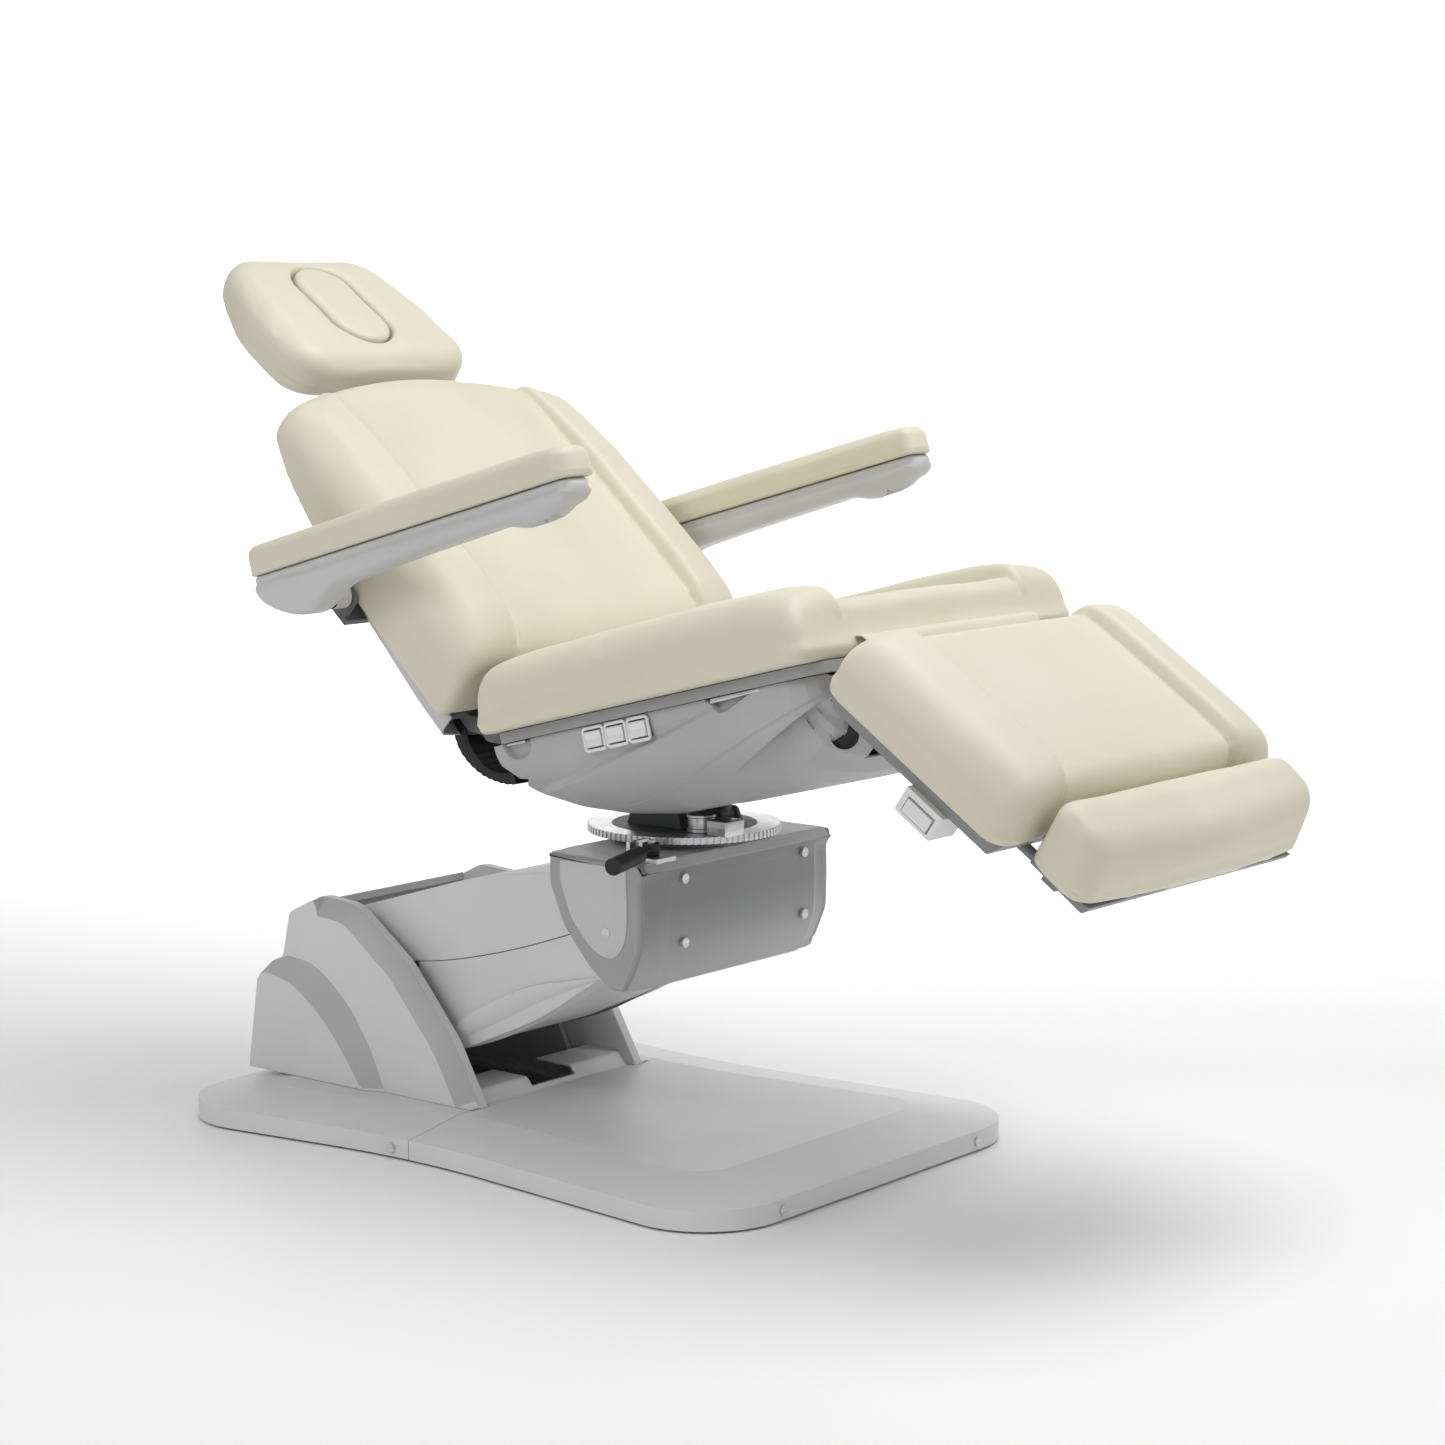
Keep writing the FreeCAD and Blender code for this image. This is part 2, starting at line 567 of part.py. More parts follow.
def seat_frame():
    plate = plan_cut([(93, -258, 26), (600, -258, 26), (600, 258, 26), (93, 258, 26)], 580, 586)
    plate = plate.cut(block(110, 330, -26, 26, 570, 600))
    x, z = TILT_PIVOT
    lugs = [side_cut([(x - 40, 580), (x - 20, z - 18, 18), (x + 20, z - 18, 18), (x + 40, 580)], 54, 64)]
    hx, hz = BACK_HINGE
    lugs.append(side_cut([(hx - 16, hz + 14, 12), (hx - 16, hz - 16, 14), (93, 568, 4), (140, 568, 0),
                          (140, 580), (93, 586), (hx + 16, hz + 14, 12)], 232, 240))
    lx, lz = LEG_HINGE
    lugs.append(side_cut([(lx - 60, 580), (lx - 30, lz - 14, 8), (lx + 13, lz - 14, 12),
                          (lx + 13, lz + 13, 12), (lx - 5, 580)], 142, 152))
    whole = [plate] + [piece for lug in lugs for piece in both_sides(lug)]
    for spot, y, width in ((TILT_EYE, 0, 0), (BACK_BASE, BACK_ACTUATOR_Y, 0), (LEG_BASE, LEG_ACTUATOR_Y, 0)):
        for side in (-1, 1):
            y0 = y + side * 19 - 3
            whole.append(side_cut([(spot[0] - 18, 580), (spot[0] - 9, spot[1] - 9, 8),
                                   (spot[0] + 9, spot[1] - 9, 8), (spot[0] + 18, 580)], y0, y0 + 6))
    frame = joined(whole)
    bores = [cross_rod(TILT_PIVOT, -80, 80, 10), cross_rod(BACK_HINGE, -260, 260, 8),
             cross_rod(LEG_HINGE, -180, 180, 7), cross_rod(TILT_EYE, -30, 30, 5),
             cross_rod(BACK_BASE, BACK_ACTUATOR_Y - 30, BACK_ACTUATOR_Y + 30, 5),
             cross_rod(LEG_BASE, LEG_ACTUATOR_Y - 30, LEG_ACTUATOR_Y + 30, 5)]
    return frame.cut(bores)


def seat_pins():
    pins = [cross_rod(TILT_PIVOT, -66, 66, 10), cross_rod(TILT_EYE, -24, 24, 5)]
    for side in (-1, 1):
        pins.append(cross_rod(BACK_HINGE, *sorted((side * 216, side * 241)), 8))
        pins.append(cross_rod(LEG_HINGE, *sorted((side * 124, side * 154)), 7))
    pins.append(cross_rod(BACK_BASE, BACK_ACTUATOR_Y - 24, BACK_ACTUATOR_Y + 24, 5))
    pins.append(cross_rod(LEG_BASE, LEG_ACTUATOR_Y - 24, LEG_ACTUATOR_Y + 24, 5))
    return group(pins)


def seat_cushion():
    half = CUSHION_HALF_WIDTH
    shape = side_cut([(84, 589, 6), (612, 589, 6), (612, 640, 30), (590, 676, 30), (108, 676, 30),
                      (80, 640, 30)], -half, half)
    shape = shape.common(plan_cut([(70, -half, 30), (613, -half, 30), (613, half, 30), (70, half, 30)],
                                  580, 700))
    dish = front_cut([(-BOLSTER_EDGE, 690), (-BOLSTER_EDGE + 14, 661, 20), (BOLSTER_EDGE - 14, 661, 20),
                      (BOLSTER_EDGE, 690)], 0, 700)
    lug_room = [block(60, 110, y0, y0 + 14, 580, 622) for y0 in (229, -243)]
    return shape.cut(dish).cut(lug_room)


def knee_flap():
    return side_cut([(613.2, 590), (613.2, 606, 2.4), (619, 606, 2.4), (619, 590)], -BOLSTER_EDGE, BOLSTER_EDGE)


# Backrest and headrest; along runs up the panel from its hinge, out points to the sitter

BACK_UNDER = [(40, -24), (300, -18), (420, 8), (528, 54)]
BACK_REAR = [(540, 50, 6), (536, 6, 20), (440, -34, 200), (290, -56, 200), (40, -58)]
POST_HALF = 30


def back_cushion():
    half = CUSHION_HALF_WIDTH
    shape = panel(back_xz, [(36, -10, 12), (44, -23), (300, -17), (420, 9), (528, 55), (556, 70, 12),
                            (566, 96, 20), (540, 104, 30), (112, 104, 60), (48, 70, 40)], -half, half)
    arch = rod(top_point(-60), top_point(140), 700)
    shape = shape.common(arch)
    dish = panel(back_xz, [(0, 89), (700, 89), (700, 140), (0, 140)], -BOLSTER_EDGE, BOLSTER_EDGE)
    channel = panel(back_xz, [(280, -30), (700, -30), (700, 14), (280, 14)], -40, 40)
    return shape.cut([dish, channel])


def top_point(out):
    x, z = back_xz(566 - 700, out)
    return (x, 0, z)


def back_shell():
    shape = panel(back_xz, BACK_UNDER + BACK_REAR, -262, 262)
    inner = panel(back_xz, BACK_UNDER + BACK_REAR, -257, 257)
    shift = V(*[back_xz(0, 5)[0] - BACK_HINGE[0], 0, back_xz(0, 5)[1] - BACK_HINGE[1]])
    inner.translate(shift)
    filler = panel(back_xz, [(30, -26), (300, -26), (300, -10), (30, -10)], -257, 257)
    exit_slot = panel(back_xz, [(440, -9), (600, -9), (600, 9), (440, 9)], -POST_HALF - 4, POST_HALF + 4)
    notches = [panel(back_xz, [(226, -50), (290, -50), (290, -14), (226, -14)], y0, y0 + 12)
               for y0 in (254, -266)]
    return shape.cut(inner).cut([filler, exit_slot] + notches)


def back_frame():
    board = panel(back_xz, [(48, -36), (300, -36), (300, -26), (48, -26)], -250, 250)
    lug = panel(back_xz, [(-13, -13, 12), (-13, 13, 12), (13, 13, 12), (26, -16), (44, -27), (90, -27),
                          (90, -42), (30, -42)], 219, 227)
    socket = panel(back_xz, [(290, -36), (400, -14), (400, 9), (380, 9), (290, -26)], -POST_HALF - 7, POST_HALF + 7)
    room = panel(back_xz, [(300, -4.6), (640, -4.6), (640, 4.6), (300, 4.6)], -POST_HALF - 0.6, POST_HALF + 0.6)
    rest_foot = panel(back_xz, [(232, -44), (284, -44), (284, -36), (232, -36)], 180, 299)
    ear = panel(back_xz, [(238, -44), (238, ARM_OUT + 12, 12), (276, ARM_OUT + 12, 12), (276, -44)], 292, 299)
    lever = panel(back_xz, [(100, -36), (100, -28), (50, -28), (0, -30, 8), (-42, -38, 8), (-42, -62, 8),
                            (-20, -62, 8), (10, -52, 8), (60, -50)], BACK_ACTUATOR_Y + 15, BACK_ACTUATOR_Y + 21)
    lever_two = lever.copy()
    lever_two.translate(V(0, -36, 0))
    pieces = [board] + both_sides(lug) + both_sides(rest_foot) + both_sides(ear) + [lever, lever_two]
    frame = joined(pieces + [socket]).cut(room)
    bores = [cross_rod(BACK_HINGE, -260, 260, 8 + RUN), cross_rod(ARMREST_HINGE, -310, 310, 8),
             pinned(back_xz, BACK_EYE, BACK_ACTUATOR_Y - 30, BACK_ACTUATOR_Y + 30, 5)]
    frame = frame.cut(bores)
    eye_pin = pinned(back_xz, BACK_EYE, BACK_ACTUATOR_Y - 21, BACK_ACTUATOR_Y + 21, 5)
    rest_pins = both_sides(cross_rod(ARMREST_HINGE, 292, 336, 8))
    return group([frame, eye_pin] + rest_pins)


def panel_spot(x, z):
    """The along and out of a level (x, z) on the backrest."""
    c = math.cos(math.radians(BACK_ANGLE))
    s = math.sin(math.radians(BACK_ANGLE))
    dx = x - BACK_HINGE[0]
    dz = z - BACK_HINGE[1]
    return (-dx * c + dz * s, dx * s + dz * c)


ARM_OUT = panel_spot(*ARMREST_HINGE)[1]


def back_hinge_cover():
    """A black drum segment round the backrest hinge that slides into the seat shell."""
    x, z = BACK_HINGE
    drum = tube((x, -222, z), (x, 222, z), 81, 77)
    wedge = [(x, z)]
    for degrees in (186, 210, 240, 276):
        angle = math.radians(degrees)
        wedge.append((x + 160 * math.cos(angle), z + 160 * math.sin(angle)))
    arc = drum.common(side_cut(wedge, -222, 222))
    slots = [block(0, 200, BACK_ACTUATOR_Y - 26, BACK_ACTUATOR_Y + 26, 480, 560)]
    slots += [block(0, 200, y - 8, y + 8, 480, 560) for y in (-59, 59)]
    return arc.cut(slots).cut(back_shell_room())


def back_shell_room():
    return panel(back_xz, [(34, -62), (600, -62), (600, 90), (34, 90)], -270, 270)


def headrest_post():
    bar = panel(back_xz, [(330, -4), (572, -4), (572, 4), (330, 4)], -POST_HALF, POST_HALF)
    knuckle = pinned(back_xz, (590, 0), -20, 20, 9)
    neck = panel(back_xz, [(560, -4), (590, -4), (590, 4), (560, 4)], -20, 20)
    pin = pinned(back_xz, (590, 0), -40, 40, 5)
    return joined([bar, neck, knuckle, pin])


def headrest_plan(grow):
    low = HEADREST_HALF + grow
    high = HEADREST_HALF + grow - 33
    return panel_plan(head_xz, [(-4 - grow, -low, 46), (110, -low, 90), (248 + grow, -high, 50),
                                (248 + grow, high, 50), (110, low, 90), (-4 - grow, low, 46)], -40, 120)


def headrest_shell():
    side = [(18, 11), (26, -10, 14), (120, -16, 200), (200, -2, 60), (232, 26, 10), (228, 32), (198, 21),
            (150, 10.5)]
    tray = panel(head_xz, side, -164, 164).common(headrest_plan(-14))
    inner = panel(head_xz, [(21.5, 13), (30, -6, 10), (120, -12, 196), (198, 2.6, 56), (226, 25), (228, 40),
                            (21.5, 40)], -160, 160).common(headrest_plan(-18))
    plate = panel(head_xz, [(30, 3), (190, 6), (190, 11), (30, 11)], -120, 120)
    lug = panel(head_xz, [(-9, -8, 8), (-9, 8, 8), (30, 11), (44, 11), (44, 3), (20, -8)], 24, 32)
    whole = joined([plate.common(block(-600, 0, -120, 120, 1000, 1400))] + both_sides(lug))
    whole = whole.cut(pinned(head_xz, (0, 0), -60, 60, 5 + RUN))
    room = panel(head_xz, [(-14, -30), (24, -30), (24, 14), (-14, 14)], -44, 44)
    hole = plug_form(1.4, -61, 61)
    tray = tray.cut(hole).cut(room).cut(inner)
    return group([tray.cut(whole), whole.cut(hole)])


def plug_form(gap, low, high):
    """A stadium-shaped plug, its long axis up the headrest."""
    radius = 52 + gap
    ends = []
    for along in (92, 172):
        a = head_xz(along, low)
        b = head_xz(along, high)
        ends.append(rod((a[0], 0, a[1]), (b[0], 0, b[1]), radius))
    middle = panel(head_xz, [(92, low), (172, low), (172, high), (92, high)], -radius, radius)
    return joined([middle] + ends)


def headrest_cushion():
    side = panel(head_xz, [(0, 22, 14), (10, 14, 10), (60, 14), (140, 12), (206, 28, 60), (246, 50, 20),
                           (250, 68, 12), (234, 80, 20), (12, 80, 20)], -190, 190)
    room = panel(head_xz, [(-16, -40), (26, -40), (26, 16), (-16, 16)], -46, 46)
    return side.common(headrest_plan(0)).cut([room, plug_form(1.2, -60, 140)])


def face_plug():
    return plug_form(0, 16, 84)


# Armrests, drawn level on the left side

def armrest_plan(grow, z0, z1):
    inner = ARMREST_Y - ARMREST_HALF - grow
    outer = ARMREST_Y + ARMREST_HALF + grow
    return plan_cut([(-188 - grow, inner, 14), (390 + grow, inner, 14), (390 + grow, outer, 26),
                     (-188 - grow, outer, 14)], z0, z1)


def armrest_pad():
    side = side_cut([(-188, 850, 4), (-188, 888, 14), (100, 896, 400), (380, 901, 16), (390, 862, 6)], 300, 400)
    return side.common(armrest_plan(0, 820, 920))


def armrest_shell():
    side = side_cut([(-188, 849.3), (-188, 829, 10), (-168, 809, 16), (-106, 784, 16), (-74, 792, 16),
                     (-44, 812, 24), (92, 821), (376, 833, 10), (390, 848, 10), (390, 861.2)], 300, 400)
    side = side.common(armrest_plan(-3, 760, 920))
    dome = rod((313, ARMREST_Y, 850), (313, ARMREST_Y, 817), 58)
    dome = dome.common(block(200, 380, ARMREST_Y - 24, ARMREST_Y + 24, 800, 900))
    boss = cross_rod(ARMREST_HINGE, ARMREST_Y - 49.5, ARMREST_Y - 20, 17)
    hollow = side_cut([(-120, 850), (-118, 800), (-62, 800), (-62, 850)], ARMREST_Y - 18, ARMREST_Y + 20)
    pin_room = cross_rod(ARMREST_HINGE, ARMREST_Y - 60, ARMREST_Y - 12, 8 + RUN)
    return joined([side, dome, boss]).cut([hollow, pin_room])


# Legrest and footrest; along runs down the panel from its hinge

def leg_cushion():
    half = CUSHION_HALF_WIDTH
    shape = panel(leg_xz, [(24, 24, 12), (48, 13), (300, 13), (326, 44, 20), (318, 84, 20), (292, 98, 30),
                           (58, 98, 34), (18, 74, 30)], -half, half)
    dish = panel(leg_xz, [(0, 86), (400, 86), (400, 140), (0, 140)], -BOLSTER_EDGE + 4, BOLSTER_EDGE - 4)
    corner = [panel(leg_xz, [(300, -20), (400, -20), (400, 140), (300, 140)], y0, y0 + 50).cut(
        leg_corner_round(side)) for side, y0 in ((1, half - 26), (-1, -half - 24))]
    return shape.cut(dish).cut(corner)


def leg_corner_round(side):
    low = leg_xz(300, -30)
    high = leg_xz(300, 150)
    y = side * (CUSHION_HALF_WIDTH - 26)
    return rod((low[0], y, low[1]), (high[0], y, high[1]), 26)


def leg_board():
    plate = panel(leg_xz, [(32, -2), (40, -10, 6), (300, -10, 6), (312, 12), (32, 12)], -262, 262)
    hollow = panel(leg_xz, [(50, -12), (290, -12), (290, 5), (50, 5)], -250, 250)
    ribs = [panel(leg_xz, [(50, -10), (290, -10), (290, 5), (50, 5)], y - 4, y + 4)
            for y in (-200, -152, 0, 152, 200)]
    lug = panel(leg_xz, [(-12, -12, 11), (-12, 12, 11), (40, 12), (60, 12), (60, -10), (20, -12)], 129, 138)
    lever = panel(leg_xz, [(60, 5), (34, -48, 8), (36, -68, 8), (56, -68, 8), (90, 5)], LEG_ACTUATOR_Y + 15,
                  LEG_ACTUATOR_Y + 21)
    lever_two = lever.copy()
    lever_two.translate(V(0, -36, 0))
    guides = []
    for y in (-176, 176):
        for start in (120, 250):
            guides.append(panel(leg_xz, [(start, -26), (start + 30, -26), (start + 30, 6), (start, 6)],
                                y - 12, y + 12))
    whole = joined([plate.cut(hollow)] + ribs + both_sides(lug) + [lever, lever_two] + guides)
    holes = [panel_rod(leg_xz, (100, -16), (400, -16), y, 7 + RUN) for y in (-176, 176)]
    holes.append(cross_rod(LEG_HINGE, -160, 160, 7 + RUN))
    holes.append(pinned(leg_xz, LEG_EYE, LEG_ACTUATOR_Y - 30, LEG_ACTUATOR_Y + 30, 5))
    eye_pin = pinned(leg_xz, LEG_EYE, LEG_ACTUATOR_Y - 21, LEG_ACTUATOR_Y + 21, 5)
    return group([whole.cut(holes), eye_pin])


def leg_switch_box():
    box = panel(leg_xz, [(176, -10.2), (176, -44, 4), (236, -44, 4), (236, -10.2)], -272, -226)
    pocket = panel(leg_xz, [(184, -18), (184, -40), (228, -40), (228, -18)], -280, -262)
    return box.cut(pocket)


def leg_rocker():
    return panel(leg_xz, [(186, -20), (186, -38), (226, -38), (226, -20)], -274, -263)


def foot_cushion():
    side = panel(leg_xz, [(332, 14, 6), (410, 9, 12), (432, 24, 20), (404, 88, 24), (340, 100, 20),
                          (329, 60, 20)], -250, 250)
    plan = joined([panel(leg_xz, [(320, -20), (436, -20), (436, 140), (320, 140)], -200, 200),
                   panel(leg_xz, [(320, -20), (386, -20), (386, 140), (320, 140)], -250, 250)]
                  + [foot_corner(y) for y in (-200, 200)])
    return side.common(plan)


def foot_corner(y):
    low = leg_xz(382, -30)
    high = leg_xz(382, 150)
    return rod((low[0], y, low[1]), (high[0], y, high[1]), 50)


def foot_board():
    plate = panel(leg_xz, [(334, 1), (334, 13), (408, 8.4), (424, 10), (420, -2, 6)], -226, 226)
    lugs = [panel(leg_xz, [(340, -26), (362, -26), (362, 6), (340, 6)], y - 12, y + 12) for y in (-176, 176)]
    bars = [panel_rod(leg_xz, (128, -16), (350, -16), y, 7) for y in (-176, 176)]
    return joined([plate] + lugs + bars)


def main():
    os.makedirs("parts", exist_ok=True)
    rear, front = base_covers()
    save("base_plate", Part.Face(base_outline(16, 0)).extrude(V(0, 0, PLATE_TOP)))
    save("base_cover_rear", rear)
    save("base_cover_front", front)
    save("base_rim_screws", base_screws(rear.fuse(front)))
    cheek = column_cheek()
    save("column_cheek_left", cheek)
    save("column_cheek_right", mirrored(cheek))
    save("column_rear_cover", column_rear_cover())
    save("power_inlet", power_inlet())
    save("column_frame", column_frame())
    save("column_pivot_pins", column_pins())

    save("arm_upper_cover", arm_upper_cover())
    save("arm_lower_cover", arm_lower_cover())
    save("arm_frame", arm_frame())
    save("level_link", level_link())
    body, ram = actuator(LIFT_BASE, arm_xz(*LIFT_EYE), 270, 22, 9, 15, 8 + RUN, 8 + 7.2, 28)
    save("lift_actuator_body", body)
    save("lift_actuator_rod", ram)

    save("knuckle_hull", knuckle_hull())
    save("knuckle_front_plate", knuckle_front_plate())
    save("knuckle_cap_left", knuckle_cap())
    save("knuckle_cap_right", mirrored(knuckle_cap()))
    save("knuckle_screws", knuckle_screws())
    save("knuckle_frame", knuckle_frame())
    save("knuckle_pivot_pins", knuckle_pins())
    save("lock_bracket", lock_bracket())
    save("lock_lever", lock_lever())
    save("turntable_ring", turntable_ring())
    body, ram = actuator(TILT_BASE, tipped(TILT_EYE), 84, 12, 6, 9, 5 + RUN, 5 + 1.5, 24, width=11)
    save("tilt_actuator_body", body)
    save("tilt_actuator_rod", ram)
    save("tilt_yoke", tilt_yoke())

    save_tipped("seat_shell", seat_shell())
    for i in range(3):
        save_tipped("seat_rocker_" + str(i + 1), seat_rocker(i))
    save_tipped("seat_rail", seat_rail())
    save_tipped("seat_frame", seat_frame())
    save_tipped("seat_pins", seat_pins())
    save_tipped("seat_cushion", seat_cushion())
    save_tipped("knee_flap", knee_flap())
    body, ram = actuator(BACK_BASE, back_xz(*BACK_EYE), 150, 16, 7, 11, 5 + RUN, 5 + 7.6, 60,
                         BACK_ACTUATOR_Y)
    save_tipped("back_actuator_body", body)
    save_tipped("back_actuator_rod", ram)
    body, ram = actuator(LEG_BASE, leg_xz(*LEG_EYE), 160, 16, 7, 11, 5 + RUN, 5 + 11.4, 28,
                         LEG_ACTUATOR_Y)
    save_tipped("leg_actuator_body", body)
    save_tipped("leg_actuator_rod", ram)

    save_tipped("back_frame", back_frame())
    save_tipped("back_shell", back_shell())
    save_tipped("back_cushion", back_cushion())
    save_tipped("back_hinge_cover", back_hinge_cover())
    save_tipped("headrest_post", headrest_post())
    save_tipped("headrest_shell", headrest_shell())
    save_tipped("headrest_cushion", headrest_cushion())
    save_tipped("face_plug", face_plug())
    save_tipped("armrest_pad_left", armrest_pad())
    save_tipped("armrest_pad_right", mirrored(armrest_pad()))
    save_tipped("armrest_shell_left", armrest_shell())
    save_tipped("armrest_shell_right", mirrored(armrest_shell()))

    save_tipped("leg_board", leg_board())
    save_tipped("leg_cushion", leg_cushion())
    save_tipped("leg_switch_box", leg_switch_box())
    save_tipped("leg_rocker", leg_rocker())
    save_tipped("foot_board", foot_board())
    save_tipped("foot_cushion", foot_cushion())


main()
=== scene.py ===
import json
import math

import bmesh
import bpy
import numpy as np
from mathutils import Matrix, Vector


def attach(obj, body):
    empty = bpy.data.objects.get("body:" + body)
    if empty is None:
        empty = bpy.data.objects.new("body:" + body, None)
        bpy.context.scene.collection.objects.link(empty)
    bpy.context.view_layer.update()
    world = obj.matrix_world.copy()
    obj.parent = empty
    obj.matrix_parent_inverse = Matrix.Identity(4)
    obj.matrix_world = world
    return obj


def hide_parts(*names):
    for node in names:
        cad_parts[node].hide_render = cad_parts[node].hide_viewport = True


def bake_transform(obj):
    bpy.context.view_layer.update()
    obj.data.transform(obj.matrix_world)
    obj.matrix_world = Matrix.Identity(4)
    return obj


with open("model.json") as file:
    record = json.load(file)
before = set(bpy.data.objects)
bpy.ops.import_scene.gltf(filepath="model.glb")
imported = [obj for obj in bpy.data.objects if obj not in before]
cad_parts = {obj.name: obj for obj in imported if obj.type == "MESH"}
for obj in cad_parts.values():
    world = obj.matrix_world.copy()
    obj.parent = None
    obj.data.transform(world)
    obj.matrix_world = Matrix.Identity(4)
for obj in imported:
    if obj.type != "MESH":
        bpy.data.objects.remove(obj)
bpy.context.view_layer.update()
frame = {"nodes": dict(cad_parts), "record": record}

NODES = frame["nodes"]
COLLECTION = bpy.context.scene.collection
MM = 0.001

# The chair's own layout in millimetres. The seat and what hangs on it are drawn level, then tipped
# about the tilt pin. "along" runs up or down a panel from its hinge, "out" points to the sitter.
SEAT_TILT = math.radians(14.2)
TILT_PIVOT = (150.0, 500.0)
BACK_HINGE = (60.0, 600.0)
BACK_SCREW_Y = 118.0
BACK_ANGLE = math.radians(180 - 55.9)
HEAD_ANGLE = math.radians(180 - 49.1)
LEG_HINGE = (605.0, 565.0)
LEG_ANGLE = math.radians(-48.3)
POST_REACH = 590.0
HALF_WIDTH = 290.0
CREASE_Y = 184.0
ARM_Y = 350.0
ROCKER_X, ROCKER_Z, ROCKER_PITCH = 250, 556, 37
SIDES = ((-1, "right"), (1, "left"))


# Panel frames: each maps arrays of (along, across, out) in mm to the row frame in metres.

def tip(x, y, z):
    """A level point, once the seat is tipped, in metres."""
    c, s = math.cos(SEAT_TILT), math.sin(SEAT_TILT)
    dx, dz = x - TILT_PIVOT[0], z - TILT_PIVOT[1]
    return np.stack([TILT_PIVOT[0] + dx * c - dz * s, y + dx * 0, TILT_PIVOT[1] + dx * s + dz * c], -1) * MM


def panel_frame(hinge, angle, flip):
    c, s = math.cos(angle), math.sin(angle)

    def place(p):
        a, y, o = p[..., 0], p[..., 1], p[..., 2]
        return tip(hinge[0] + a * c - flip * o * s, y, hinge[1] + a * s + flip * o * c)
    return place


def level_place(p):
    return tip(p[..., 0], p[..., 1], p[..., 2])


def plain_place(p):
    return p * MM


back_place = panel_frame(BACK_HINGE, BACK_ANGLE, -1)
HEAD_PIVOT = (BACK_HINGE[0] + POST_REACH * math.cos(BACK_ANGLE),
              BACK_HINGE[1] + POST_REACH * math.sin(BACK_ANGLE))
head_place = panel_frame(HEAD_PIVOT, HEAD_ANGLE, -1)
leg_place = panel_frame(LEG_HINGE, LEG_ANGLE, 1)


# Materials

def new_material(name, color, roughness, specular=0.5, coat=0.0, sheen=0.0, metallic=0.0):
    material = bpy.data.materials.new(name)
    material.use_nodes = True
    tree = material.node_tree
    shader = tree.nodes["Principled BSDF"]
    shader.inputs["Base Color"].default_value = (*color, 1)
    shader.inputs["Roughness"].default_value = roughness
    shader.inputs["Specular IOR Level"].default_value = specular
    shader.inputs["Coat Weight"].default_value = coat
    shader.inputs["Sheen Weight"].default_value = sheen
    shader.inputs["Metallic"].default_value = metallic
    return material, tree, shader


def add(tree, kind, **inputs):
    node = tree.nodes.new(kind)
    for key, value in inputs.items():
        node.inputs[key.replace("_", " ")].default_value = value
    return node


def coords(tree, scale=(1, 1, 1)):
    source = tree.nodes.new("ShaderNodeTexCoord")
    mapping = tree.nodes.new("ShaderNodeMapping")
    mapping.inputs["Scale"].default_value = scale
    tree.links.new(source.outputs["Object"], mapping.inputs["Vector"])
    return mapping.outputs["Vector"]


def tone(tree, vector, scale, low, high, detail=3.0):
    """Noise mapped to a ramp from colour low to colour high."""
    noise = add(tree, "ShaderNodeTexNoise", Scale=scale, Detail=detail, Roughness=0.55)
    tree.links.new(vector, noise.inputs["Vector"])
    ramp = tree.nodes.new("ShaderNodeValToRGB")
    ramp.color_ramp.elements[0].position = 0.35
    ramp.color_ramp.elements[0].color = (*low, 1)
    ramp.color_ramp.elements[1].position = 0.65
    ramp.color_ramp.elements[1].color = (*high, 1)
    tree.links.new(noise.outputs["Fac"], ramp.inputs["Fac"])
    return ramp.outputs["Color"]


def rough_range(tree, vector, scale, low, high):
    noise = add(tree, "ShaderNodeTexNoise", Scale=scale, Detail=4.0)
    tree.links.new(vector, noise.inputs["Vector"])
    span = add(tree, "ShaderNodeMapRange")
    span.inputs["To Min"].default_value = low
    span.inputs["To Max"].default_value = high
    tree.links.new(noise.outputs["Fac"], span.inputs["Value"])
    return span.outputs["Result"]


def bump(tree, height, strength, distance, normal=None):
    node = add(tree, "ShaderNodeBump", Strength=strength, Distance=distance)
    tree.links.new(height, node.inputs["Height"])
    if normal is not None:
        tree.links.new(normal, node.inputs["Normal"])
    return node.outputs["Normal"]


def soft_edged(tree, vector, shader, edge, grain, detail, strength, depth):
    """Rounds the shaded edges and adds a fine grain."""
    softened = add(tree, "ShaderNodeBevel", Radius=edge)
    softened.samples = 6
    noise = add(tree, "ShaderNodeTexNoise", Scale=grain, Detail=detail)
    tree.links.new(vector, noise.inputs["Vector"])
    normal = bump(tree, noise.outputs["Fac"], strength, depth, softened.outputs["Normal"])
    tree.links.new(normal, shader.inputs["Normal"])


def vinyl():
    """Cream upholstery vinyl: pebbled grain about a millimetre across, soft sheen and slow tone shifts."""
    material, tree, shader = new_material("cream_vinyl_grain", (0.8, 0.76, 0.64), 0.47, 0.38, 0.0, 0.06)
    vector = coords(tree)
    color = tone(tree, vector, 5.0, (0.700, 0.658, 0.525), (0.735, 0.692, 0.560))
    tree.links.new(color, shader.inputs["Base Color"])
    tree.links.new(rough_range(tree, vector, 35.0, 0.42, 0.54), shader.inputs["Roughness"])
    cells = add(tree, "ShaderNodeTexVoronoi", Scale=900.0)
    cells.feature = "SMOOTH_F1"
    tree.links.new(vector, cells.inputs["Vector"])
    fine = bump(tree, cells.outputs["Distance"], 0.10, 0.0006)
    slow = add(tree, "ShaderNodeTexNoise", Scale=14.0, Detail=2.0)
    tree.links.new(vector, slow.inputs["Vector"])
    tree.links.new(bump(tree, slow.outputs["Fac"], 0.10, 0.004, fine), shader.inputs["Normal"])
    return material


